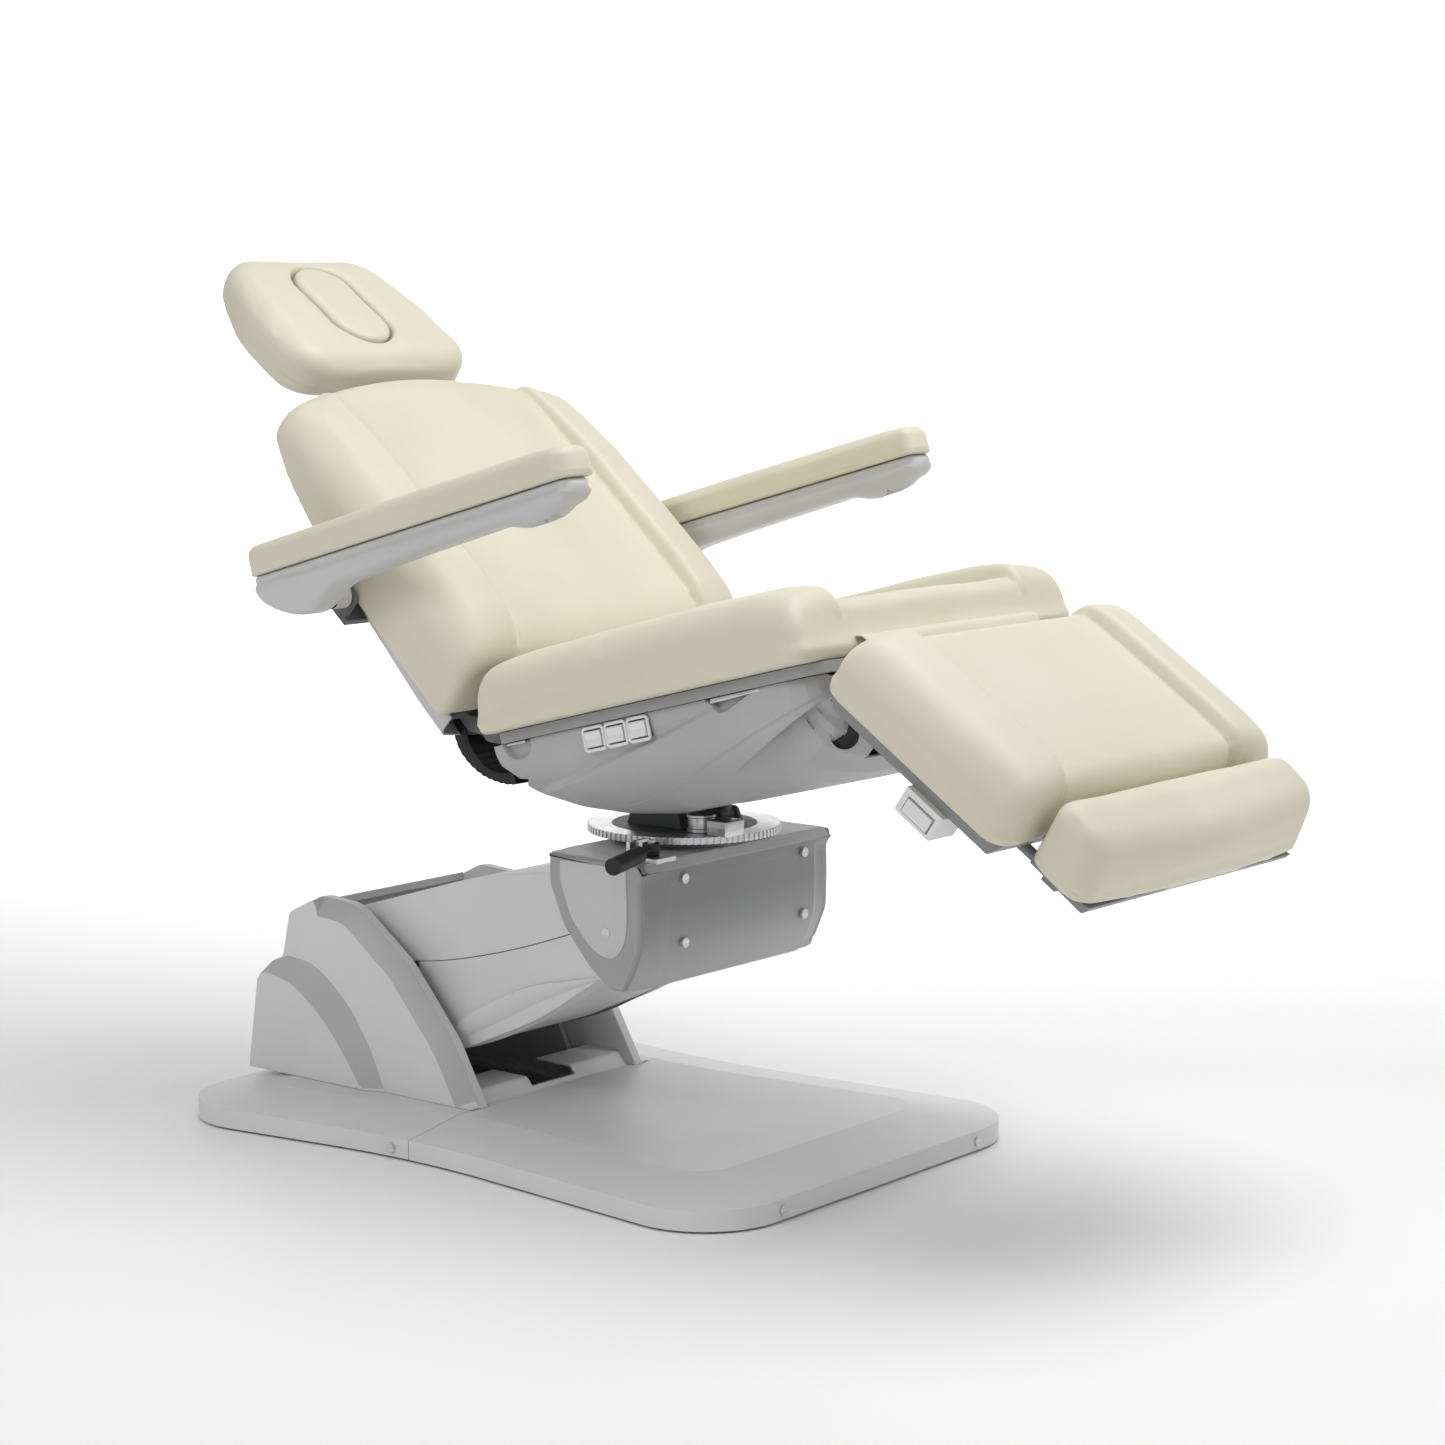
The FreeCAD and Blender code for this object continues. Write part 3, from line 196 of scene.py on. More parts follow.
def plastic(name, low, high, rough=(0.38, 0.5), edge=0.0012, grain=0.05, specular=0.45):
    """Moulded plastic: spark-eroded texture, gentle tone variation and softened edges."""
    material, tree, shader = new_material(name, high, rough[0], specular)
    vector = coords(tree)
    tree.links.new(tone(tree, vector, 3.0, low, high), shader.inputs["Base Color"])
    tree.links.new(rough_range(tree, vector, 60.0, *rough), shader.inputs["Roughness"])
    soft_edged(tree, vector, shader, edge, 1800.0, 2.0, grain, 0.0004)
    return material


def steel(name, low, high, rough=(0.24, 0.42), stretch=(1, 1, 40)):
    """Machined steel with fine turning marks and a little dulling."""
    material, tree, shader = new_material(name, high, rough[0], 0.5, metallic=1.0)
    vector = coords(tree, stretch)
    tree.links.new(tone(tree, vector, 12.0, low, high), shader.inputs["Base Color"])
    tree.links.new(rough_range(tree, vector, 90.0, *rough), shader.inputs["Roughness"])
    soft_edged(tree, vector, shader, 0.0006, 300.0, 3.0, 0.06, 0.0003)
    return material


VINYL = vinyl()
LIGHT_GREY = plastic("light_grey_moulding", (0.56, 0.56, 0.56), (0.605, 0.605, 0.605))
MID_GREY = plastic("mid_grey_moulding", (0.20, 0.205, 0.21), (0.235, 0.24, 0.245))
RAIL_GREY = plastic("rail_grey_moulding", (0.33, 0.33, 0.335), (0.37, 0.37, 0.375))
BOAT_GREY = plastic("boat_grey_moulding", (0.43, 0.43, 0.435), (0.475, 0.475, 0.48))
PALE_GREY = plastic("pale_grey_moulding", (0.70, 0.70, 0.70), (0.75, 0.75, 0.75))
# A mid grey: the frames' own colour, and painted shade on the cheeks' slanted bevel and tier faces.
FRAME_GREY_AND_BEVEL_SHADE = plastic("frame_grey_and_painted_bevel_shade", (0.48, 0.48, 0.485), (0.52, 0.52, 0.525))
BOARD_GREY = plastic("board_grey_paint", (0.24, 0.245, 0.25), (0.28, 0.285, 0.29))
WHITE = plastic("white_switch_plastic", (0.80, 0.80, 0.80), (0.84, 0.84, 0.84), (0.2, 0.3), 0.0008, 0.02)
BLACK = plastic("black_moulding", (0.012, 0.012, 0.012), (0.02, 0.02, 0.021), (0.45, 0.6), 0.001, 0.12)
PAINT = plastic("grey_powder_coat", (0.12, 0.125, 0.13), (0.16, 0.165, 0.17), (0.4, 0.55), 0.001, 0.15)
STEEL = steel("machined_steel", (0.64, 0.64, 0.65), (0.80, 0.80, 0.81))
SLOT_MATERIALS = {
    "cream_vinyl": VINYL, "light_grey_plastic": LIGHT_GREY, "mid_grey_plastic": MID_GREY,
    "white_plastic": WHITE, "black_plastic": BLACK, "painted_steel": PAINT, "bright_steel": STEEL,
}


# Mesh helpers. Shapes are drawn in mm in a panel frame and only put in the row frame at the end.

def solve_frame(place):
    """The 4x4 matrix that takes panel mm to row-frame metres."""
    corners = place(np.array([[0.0, 0, 0], [1, 0, 0], [0, 1, 0], [0, 0, 1]]))
    matrix = np.eye(4)
    matrix[:3, 3] = corners[0]
    for i in range(3):
        matrix[:3, i] = corners[i + 1] - corners[0]
    return matrix


def unplace(place, points):
    inverse = np.linalg.inv(solve_frame(place))
    return points @ inverse[:3, :3].T + inverse[:3, 3]


def read_points(mesh):
    flat = np.empty(len(mesh.vertices) * 3)
    mesh.vertices.foreach_get("co", flat)
    return flat.reshape(-1, 3)


def write_points(mesh, points):
    mesh.vertices.foreach_set("co", np.ascontiguousarray(points, dtype=float).ravel())
    mesh.update()


def new_object(name, mesh, material):
    obj = bpy.data.objects.new(name, mesh)
    COLLECTION.objects.link(obj)
    if material is not None:
        obj.data.materials.clear()
        obj.data.materials.append(material)
    return obj


def apply_modifiers(obj):
    graph = bpy.context.evaluated_depsgraph_get()
    mesh = bpy.data.meshes.new_from_object(obj.evaluated_get(graph), depsgraph=graph)
    obj.modifiers.clear()
    old = obj.data
    obj.data = mesh
    bpy.data.meshes.remove(old)


def shade_smooth(obj, angle=None):
    obj.data.polygons.foreach_set("use_smooth", [True] * len(obj.data.polygons))
    if angle is not None:
        obj.data.set_sharp_from_angle(angle=math.radians(angle))


def rounded(parts, radius):
    """The rounded intersection of half spaces: parts are signed distances, positive outside, in mm."""
    stacked = np.stack(parts) + radius
    outer = np.sqrt((np.maximum(stacked, 0) ** 2).sum(0))
    return outer + np.minimum(stacked.max(0), 0) - radius


def smooth_step(x):
    x = np.clip(x, 0, 1)
    return x * x * (3 - 2 * x)


def through(x, xs, ys):
    """A smooth curve through (xs, ys): linear runs averaged over a short window."""
    total = 0
    for shift in (-12, -8, -4, 0, 4, 8, 12):
        total = total + np.interp(x + shift, xs, ys)
    return total / 7


def gradient(solid, p, step=0.5):
    g = np.empty_like(p)
    for i in range(3):
        move = np.zeros(3)
        move[i] = step
        g[:, i] = (solid(p + move) - solid(p - move)) / (2 * step)
    return g


def settle(p, solid, rounds=3):
    """Moves points on to the surface where solid is zero."""
    for _ in range(rounds):
        g = gradient(solid, p)
        size = np.maximum((g ** 2).sum(1, keepdims=True), 0.05)
        p = p - np.clip(solid(p)[:, None] / size * g, -6, 6)
    return p


def relax(mesh, p, rounds):
    """Evens the spacing of points by averaging neighbours."""
    edges = np.empty(len(mesh.edges) * 2, dtype=int)
    mesh.edges.foreach_get("vertices", edges)
    edges = edges.reshape(-1, 2)
    count = np.bincount(edges.ravel(), minlength=len(p))[:, None]
    for _ in range(rounds):
        total = np.zeros_like(p)
        np.add.at(total, edges[:, 0], p[edges[:, 1]])
        np.add.at(total, edges[:, 1], p[edges[:, 0]])
        p = 0.5 * p + 0.5 * total / np.maximum(count, 1)
    return p


def normals_of(mesh):
    flat = np.empty(len(mesh.vertices) * 3)
    mesh.vertices.foreach_get("normal", flat)
    return flat.reshape(-1, 3)


def puff(obj, cap, keep_below):
    """Lets the cover swell like stuffed vinyl. Points move at most cap mm, and none below keep_below."""
    rest = read_points(obj.data)
    cloth = obj.modifiers.new("swell", "CLOTH")
    settings = cloth.settings
    settings.quality = 4
    settings.mass = 0.35
    settings.tension_stiffness = 12
    settings.compression_stiffness = 8
    settings.shear_stiffness = 5
    settings.bending_stiffness = 4
    settings.use_pressure = True
    settings.uniform_pressure_force = 4
    settings.effector_weights.gravity = 0
    cloth.collision_settings.use_collision = False
    cloth.point_cache.frame_start = 1
    cloth.point_cache.frame_end = 14
    scene = bpy.context.scene
    for number in range(1, 15):
        scene.frame_set(number)
    graph = bpy.context.evaluated_depsgraph_get()
    swollen = read_points(obj.evaluated_get(graph).data)
    obj.modifiers.clear()
    scene.frame_set(1)
    move = (swollen - rest) * 1000
    size = np.linalg.norm(move, axis=1, keepdims=True)
    move *= cap * np.tanh(size / cap) / np.maximum(size, 1e-6)
    held = smooth_step((rest[:, 2] * 1000 - keep_below) / 14)[:, None]
    write_points(obj.data, rest + move * held * MM)


def cushion(name, node, place, solid, body, detail, voxel, cap, keep_below, snaps=()):
    """A stuffed piece in place of a CAD solid: remeshed, settled on to solid, swollen, then stitched."""
    source = NODES[node]
    mesh = source.data.copy()
    turn = np.array(source.matrix_world.to_3x3())
    world = read_points(mesh) @ turn.T + np.array(source.matrix_world.translation)
    write_points(mesh, unplace(place, world) * MM)
    obj = new_object(name, mesh, VINYL)
    remesh = obj.modifiers.new("remesh", "REMESH")
    remesh.mode = "VOXEL"
    remesh.voxel_size = voxel * MM
    apply_modifiers(obj)
    p = read_points(obj.data) * 1000
    for _ in range(3):
        p = settle(relax(obj.data, p, 3), solid, 2)
    write_points(obj.data, p * MM)
    puff(obj, cap, keep_below)
    subdivide = obj.modifiers.new("subdivide", "SUBSURF")
    subdivide.levels = 1
    subdivide.render_levels = 1
    apply_modifiers(obj)
    p = read_points(obj.data) * 1000
    for y, reach in snaps:
        gap = np.abs(p[:, 1]) - y
        near = np.abs(gap) < reach
        p[near, 1] = np.sign(p[near, 1]) * y
    write_points(obj.data, p * MM)
    if detail is not None:
        p = p + normals_of(obj.data) * detail(p)[:, None]
    write_points(obj.data, place(p))
    obj.data.materials.clear()
    obj.data.materials.append(VINYL)
    shade_smooth(obj)
    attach(obj, body)
    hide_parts(node)


def groove(distance, depth, width):
    """A sewn line: a narrow V of this depth with a small welt on each side."""
    x = np.abs(distance) / width
    return -depth * np.exp(-(x * 1.6) ** 2) + 0.28 * depth * np.exp(-((x - 1.5) * 1.8) ** 2)


# Upholstery

def bolster(y, run):
    """Height across a panel, 0 to 1: flat in the middle, a crest beyond the crease, then falling off."""
    t = np.clip((np.abs(y) - CREASE_Y) / run, 0, 1)
    fall = 0.6 * np.clip((np.abs(y) - CREASE_Y - run) / 90, 0, 1) ** 1.3
    return np.sin(t * math.pi / 2) - fall


def crown(y):
    """A slight crown across the middle of a panel."""
    return 1.5 * np.cos(y / 60.0) * (np.abs(y) < 94)


def crease_line(y):
    """The sewn crease and the taut ridge just outside it."""
    ridge = 1.8 * np.exp(-((np.abs(y) - CREASE_Y - 13) / 5.0) ** 2)
    return groove(np.abs(y) - CREASE_Y, 3.4, 5.2) + ridge


def seat_solid(p):
    x, y, z = p[:, 0], p[:, 1], p[:, 2]
    crest = through(x, [60, 104, 129, 251, 430, 540, 588, 640], [664, 674, 680, 683, 685, 683, 675, 654])
    dip = through(x, [60, 130, 300, 520, 640], [664, 660, 655, 660, 654])
    top = z - (dip + bolster(y, 17) * (crest - dip)) - crown(y)
    half = HALF_WIDTH - 1.5 + 0 * x
    upper = rounded([top, np.abs(y) - half], 36)
    upper = rounded([upper, 79 - x + 0.20 * (z - 633), x - 614 + 0.12 * (z - 620)], 17)
    return rounded([upper, 589 - z], 7)


def seat_detail(p):
    x, y, z = p[:, 0], p[:, 1], p[:, 2]
    on_top = smooth_step((z - 630) / 20)
    hem = groove(z - 598, 0.9, 3.0) * (np.abs(y) > 200)
    waves = 0.5 * np.sin(x / 23 + 2 * np.sin(y / 41)) * np.sin(y / 37) * on_top
    return crease_line(y) * on_top + hem + waves


def back_solid(p):
    a, y, o = p[:, 0], p[:, 1], p[:, 2]
    crest = through(a, [30, 48, 80, 112, 160, 380, 460, 520, 580], [62, 74, 91, 102, 107, 107, 100, 91, 80])
    flat = through(a, [30, 48, 80, 112, 300, 480, 580], [58, 68, 80, 86, 89, 87, 80])
    top = o - (flat + bolster(y, 15) * (crest - flat)) - crown(y)
    half = HALF_WIDTH - 1 + 0 * a
    body = rounded([top, np.abs(y) - half], 42)
    under = through(a, [30, 155, 270, 371, 440, 505, 528], [-24, -21, -15, 0, 16, 44, 54])
    body = rounded([body, under - o], 9)
    arch = np.sqrt((a + 132) ** 2 + y ** 2) - 700
    heel = 39.5 - a + 0.15 * (o + 10)
    return rounded([body, arch, heel], 20)


def back_detail(p):
    a, y, o = p[:, 0], p[:, 1], p[:, 2]
    on_top = smooth_step((o - 70) / 14) * smooth_step((545 - a) / 25)
    waves = 0.5 * np.sin(a / 29 + 2 * np.sin(y / 43)) * np.sin(y / 39) * on_top
    return crease_line(y) * on_top + waves


def stadium(a, y, middle, half_length, radius):
    """Signed distance from a stadium whose long axis runs up the panel."""
    return np.hypot(np.maximum(np.abs(a - middle) - half_length, 0), y) - radius


def head_solid(p):
    a, y, o = p[:, 0], p[:, 1], p[:, 2]
    half = through(a, [-20, 60, 110, 160, 230, 260], [168, 168, 165, 156, 138, 130])
    top = o - through(a, [-10, 20, 120, 200, 250], [76, 80, 82, 82, 80])
    side = (np.abs(y) - half) * 0.98
    low = through(a, [-10, 20, 60, 140, 205, 250], [20, 13, 12, 11, 26, 46])
    plan = rounded([side, -4 - a, a - 253], 50)
    body = rounded([plan, top], 27)
    body = rounded([body, low - o], 8)
    moat = stadium(a, y, 130, 38, 49)
    hole = 1.4 - moat
    return rounded([body, hole], 6)


def head_detail(p):
    a, y, o = p[:, 0], p[:, 1], p[:, 2]
    moat = stadium(a, y, 130, 38, 49)
    on_top = smooth_step((o - 60) / 10)
    seam = groove(o - 30, 0.9, 3.0) * (moat > 60)
    waves = 0.35 * np.sin(a / 21 + np.sin(y / 31)) * np.sin(y / 33) * on_top
    return seam + waves - 1.6 * np.exp(-(np.maximum(moat, 0) / 7) ** 2) * on_top


def plug_solid(p):
    a, y, o = p[:, 0], p[:, 1], p[:, 2]
    return rounded([stadium(a, y, 130, 38, 48.4), o - 83, 17 - o], 8)


def leg_solid(p):
    a, y, o = p[:, 0], p[:, 1], p[:, 2]
    crest = through(a, [0, 30, 60, 150, 270, 330], [86, 97, 103, 104, 103, 96])
    flat = through(a, [0, 30, 80, 250, 330], [76, 84, 86, 86, 82])
    top = o - (flat + bolster(y, 15) * (crest - flat))
    body = rounded([top, np.abs(y) - (HALF_WIDTH - 1)], 40)
    foot = a - (316 + 8 * smooth_step((np.abs(y) - CREASE_Y) / 50) + 0.16 * (44 - o))
    knee = 17 - a + 0.05 * (74 - o)
    body = rounded([body, foot, knee], 26)
    low = through(a, [0, 30, 60, 300, 330], [20, 14, 13, 13, 18])
    return rounded([body, low - o], 7)


def leg_detail(p):
    a, y, o = p[:, 0], p[:, 1], p[:, 2]
    on_top = smooth_step((o - 40) / 20)
    waves = 0.5 * np.sin(a / 27 + 2 * np.sin(y / 43)) * np.sin(y / 35) * on_top
    return crease_line(y) * on_top + waves + groove(o - 24, 0.9, 3.0)


def foot_solid(p):
    a, y, o = p[:, 0], p[:, 1], p[:, 2]
    top = o - through(a, [320, 345, 390, 430], [103, 102, 96, 88]) + 0.00008 * y ** 2
    far = a - (434 - 0.0003 * y ** 2) - 0.22 * (40 - o)
    plan = rounded([331 - a + 0.06 * (60 - o), far, np.abs(y) - 249], 28)
    body = rounded([plan, top], 21)
    low = through(a, [320, 340, 410, 436], [14, 12, 9, 18])
    return rounded([body, low - o], 6)


def foot_detail(p):
    a, y, o = p[:, 0], p[:, 1], p[:, 2]
    on_top = smooth_step((o - 50) / 20)
    waves = 0.5 * np.sin(a / 19 + 2 * np.sin(y / 47)) * np.sin(y / 41) * on_top
    return waves + groove(o - 22, 0.9, 3.0)


def arm_solid(p):
    x, y, z = p[:, 0], np.abs(p[:, 1]) - ARM_Y, p[:, 2]
    top = z - through(x, [-190, 100, 340, 395], [889, 897, 901.5, 900]) + 0.0016 * y ** 2
    low = through(x, [-190, 395], [850, 862])
    outer = rounded([-187.5 - x, x - 389.5 + 0.1 * (z - 862), y - 29.7], 24)
    inner = rounded([-187.5 - x, x - 389.5 + 0.1 * (z - 862), -29.7 - y], 14)
    body = rounded([np.maximum(outer, inner), top], 13)
    return rounded([body, low - z], 2.5)


def arm_detail(p):
    x, z = p[:, 0], p[:, 2]
    low = np.interp(x, [-190, 395], [850, 862])
    return groove(z - low - 5, 0.7, 2.2)


SNAP = ((CREASE_Y, 1.9),)
cushion("seat_upholstery", "seat_cushion", level_place, seat_solid, "seat", seat_detail, 7.0, 4.0, 604, SNAP)
cushion("back_upholstery", "back_cushion", back_place, back_solid, "backrest", back_detail, 7.0, 4.0, 24,
        SNAP)
cushion("head_upholstery", "headrest_cushion", head_place, head_solid, "headrest", head_detail, 5.0, 2.0, 30)
cushion("face_plug_upholstery", "face_plug", head_place, plug_solid, "face_plug", None, 4.0, 1.0, 60)
cushion("leg_upholstery", "leg_cushion", leg_place, leg_solid, "legrest", leg_detail, 7.0, 4.0, 26, SNAP)
cushion("foot_upholstery", "foot_cushion", leg_place, foot_solid, "footrest", foot_detail, 6.0, 3.0, 28)
for side in ("left", "right"):
    cushion("armrest_upholstery_" + side, "armrest_pad_" + side, level_place, arm_solid, "armrest_" + side,
            arm_detail, 3.5, 1.2, 868)


# Hard shells

def finish_piece(obj, body, nodes=()):
    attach(obj, body)
    if nodes:
        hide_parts(*nodes)
    return obj


def grid_piece(name, points, material, wrap=False):
    """A sheet of quads through (n, m, 3) row-frame points; wrap joins the last column to the first."""
    n, m = points.shape[:2]
    faces = []
    last = m if wrap else m - 1
    for i in range(n - 1):
        for j in range(last):
            k = (j + 1) % m
            faces.append((i * m + j, i * m + k, (i + 1) * m + k, (i + 1) * m + j))
    mesh = bpy.data.meshes.new(name)
    mesh.from_pydata(points.reshape(-1, 3).tolist(), [], faces)
    obj = new_object(name, mesh, material)
    shade_smooth(obj)
    return obj


def corner_arc(outline, steps=8):
    """Points of a closed outline of (a, b, corner radius) with its corners rounded."""
    result = []
    count = len(outline)
    for i, (a, b, *r) in enumerate(outline):
        here = Vector((a, b))
        if not r or not r[0]:
            result.append((a, b))
            continue
        back = (Vector(outline[i - 1][:2]) - here)
        ahead = (Vector(outline[(i + 1) % count][:2]) - here)
        half = back.angle(ahead) / 2
        reach = min(r[0] / math.tan(half), back.length * 0.48, ahead.length * 0.48)
        radius = reach * math.tan(half)
        back.normalize()
        ahead.normalize()
        middle = here + (back + ahead).normalized() * radius / math.sin(half)
        start = here + back * reach - middle
        end = here + ahead * reach - middle
        sweep = start.angle_signed(end)
        for k in range(steps + 1):
            turned = start.copy()
            turned.rotate(Matrix.Rotation(-sweep * k / steps, 2))
            result.append(tuple(middle + turned))
    return np.array(result)


def slab(name, outline, low, high, place, material, bevel, steps=8, segments=3, axis="y"):
    """A solid plate: a rounded outline given thickness, with bevelled edges. The outline is (x, z), or (x, y)
    for axis z, or (y, z) for axis x."""
    flat = corner_arc(outline, steps)
    count = len(flat)
    order = {"y": (0, 2, 1), "z": (0, 1, 2), "x": (1, 2, 0)}[axis]
    points = np.zeros((2 * count, 3))
    for k, level in enumerate((low, high)):
        points[k * count:(k + 1) * count, order[0]] = flat[:, 0]
        points[k * count:(k + 1) * count, order[1]] = flat[:, 1]
        points[k * count:(k + 1) * count, order[2]] = level
    mesh = bpy.data.meshes.new(name)
    faces = [tuple(range(count)), tuple(range(2 * count - 1, count - 1, -1))]
    faces += [(i, i + count, (i + 1) % count + count, (i + 1) % count) for i in range(count)]
    mesh.from_pydata(place(points).tolist(), [], faces)
    mesh.validate()
    work = bmesh.new()
    work.from_mesh(mesh)
    bmesh.ops.recalc_face_normals(work, faces=work.faces)
    work.to_mesh(mesh)
    work.free()
    obj = new_object(name, mesh, material)
    if bevel:
        edge = obj.modifiers.new("bevel", "BEVEL")
        edge.width = bevel * MM
        edge.segments = segments
        edge.limit_method = "ANGLE"
        edge.angle_limit = math.radians(40)
        apply_modifiers(obj)
    shade_smooth(obj, 34)
    return obj


def pipe(name, path, radius, material, sides=8):
    """A thin round bar along row-frame points."""
    path = np.asarray(path, dtype=float)
    heading = np.gradient(path, axis=0)
    heading /= np.linalg.norm(heading, axis=1, keepdims=True)
    guide = np.array([0.31, 0.17, 0.93])
    across = np.cross(heading, guide)
    across /= np.linalg.norm(across, axis=1, keepdims=True)
    other = np.cross(heading, across)
    turn = np.linspace(0, 2 * math.pi, sides, endpoint=False)
    ring = across[:, None] * np.cos(turn)[None, :, None] + other[:, None] * np.sin(turn)[None, :, None]
    return grid_piece(name, path[:, None] + ring * radius * MM, material, wrap=True)


def turned(name, start, end, profile, material, sides=40, angle=35):
    """A turned part between two row-frame points. profile is (distance along, radius) in mm, from start."""
    start, end = np.array(start, dtype=float), np.array(end, dtype=float)
    heading = (end - start) / np.linalg.norm(end - start)
    guide = np.array([1.0, 0, 0]) if abs(heading[0]) < 0.8 else np.array([0, 1.0, 0])
    across = np.cross(heading, guide)
    across /= np.linalg.norm(across)
    other = np.cross(heading, across)
    turn = np.linspace(0, 2 * math.pi, sides, endpoint=False)
    ring = across * np.cos(turn)[:, None] + other * np.sin(turn)[:, None]
    rows = [start + heading * along * MM + ring * radius * MM for along, radius in profile]
    obj = grid_piece(name, np.array(rows), material, wrap=True)
    shade_smooth(obj, angle)
    return obj


def tint(obj, material, chosen):
    """Gives a second material to the faces that chosen picks."""
    obj.data.materials.append(material)
    for face in obj.data.polygons:
        if chosen(face):
            face.material_index = 1


def thicken(obj, thickness, angle, even=False):
    """Gives a sheet a wall, inwards, and shades it smooth up to angle."""
    wall = obj.modifiers.new("wall", "SOLIDIFY")
    wall.thickness = thickness * MM
    wall.use_even_offset = even
    apply_modifiers(obj)
    shade_smooth(obj, angle)


def cut_out(obj, points, doomed):
    """Removes the faces of a grid piece whose first corner, in mm, is in a region that doomed says goes."""
    work = bmesh.new()
    work.from_mesh(obj.data)
    width = points.shape[1]
    gone = [face for face in work.faces
            if doomed(*points[divmod(min(v.index for v in face.verts), width)])]
    bmesh.ops.delete(work, geom=gone, context="FACES")
    work.to_mesh(obj.data)
    work.free()


# The seat's grey shell: a boat-shaped moulding with a scoop, a wave and pockets on each flank

RAIL_LOW = 574.0


def boat_bottom(x):
    return np.interp(x, [50, 53, 58, 70, 95, 130, 172, 215, 470, 520, 558, 580, 592, 599],
                     [560, 540, 522, 500, 478, 461, 449, 442.5, 442.5, 449, 463, 482, 512, 566])


def boat_half(x):
    return np.interp(x, [50, 56, 70, 96, 140, 530, 560, 580, 592, 600],
                     [222, 238, 250, 258, 261.5, 261.5, 258, 250, 241, 228])


def boat_surface(x, turn):
    """Points of the plain shell at a station x and an angle round the hull."""
    power = 2 / 2.6
    c, s = np.cos(turn), np.sin(turn)
    half, low = boat_half(x), boat_bottom(x)
    top = RAIL_LOW - 0.5 + 0 * x
    y = -half * np.sign(c) * np.abs(c) ** power
    z = top - (top - low) * np.abs(s) ** power
    return np.stack([x + 0 * y, y, z], -1)


def pit(distance, depth, wall):
    """Depth of a pocket whose edge is at distance 0 and whose inside is negative."""
    return depth * smooth_step(-distance / wall)


def boat_relief(p):
    """How far the moulding is pressed in, in mm, at a point of the plain hull."""
    x, y, z = p[..., 0], np.abs(p[..., 1]), p[..., 2]
    wave = np.interp(x, [100, 150, 200, 240, 328, 390, 430, 480], [500, 504, 510, 519, 533, 546, 555, 568])
    fade = smooth_step((x - 90) / 60) * smooth_step((500 - x) / 160)
    rise = z - wave
    inward = 7.5 * fade * smooth_step(rise / 7) * np.exp(-np.maximum(rise, 0) / 30) * (y > 150)
    upper = np.interp(x, [402, 422, 472, 516, 564, 592, 600], [474, 480, 496, 512, 531, 544, 548])
    lower = np.interp(x, [402, 436, 484, 530, 570, 585, 594, 600], [473, 466, 467, 480, 500, 518, 540, 548])
    t = (upper - z) / np.maximum(upper - lower, 1)
    inside = (t > 0) & (t < 1) & (x > 402) & (x < 600) & (y > 120)
    deep = 30 * smooth_step((x - 402) / 110) * smooth_step((602 - x) / 30)
    inward = inward + np.where(inside, deep * smooth_step(t / 0.10) * np.clip(1 - t, 0, 1) ** 0.8, 0)
    notch = np.hypot((x - 116) / 27.0, np.minimum(z - 574, 0) / 24.0) - 1
    inward = inward + pit(notch * 24, 9, 3.5) * (y > 200)
    under = RAIL_LOW - z
    long_notch = np.maximum.reduce([(434 + under * 0.9) - x, x - (526 - under * 0.25), (554 - z) + 0 * x,
                                    (x - 457) * 0.36 - (z - 552)])
    inward = inward + pit(long_notch, 9, 3.0) * (y > 200)
    for i in range(3):
        near = np.maximum(np.abs(x - ROCKER_X - ROCKER_PITCH * i) - 15.2, np.abs(z - ROCKER_Z) - 12.8)
        inward = inward + pit(near, 9, 1.5) * (y > 200) * (p[..., 1] < 0)
    return inward


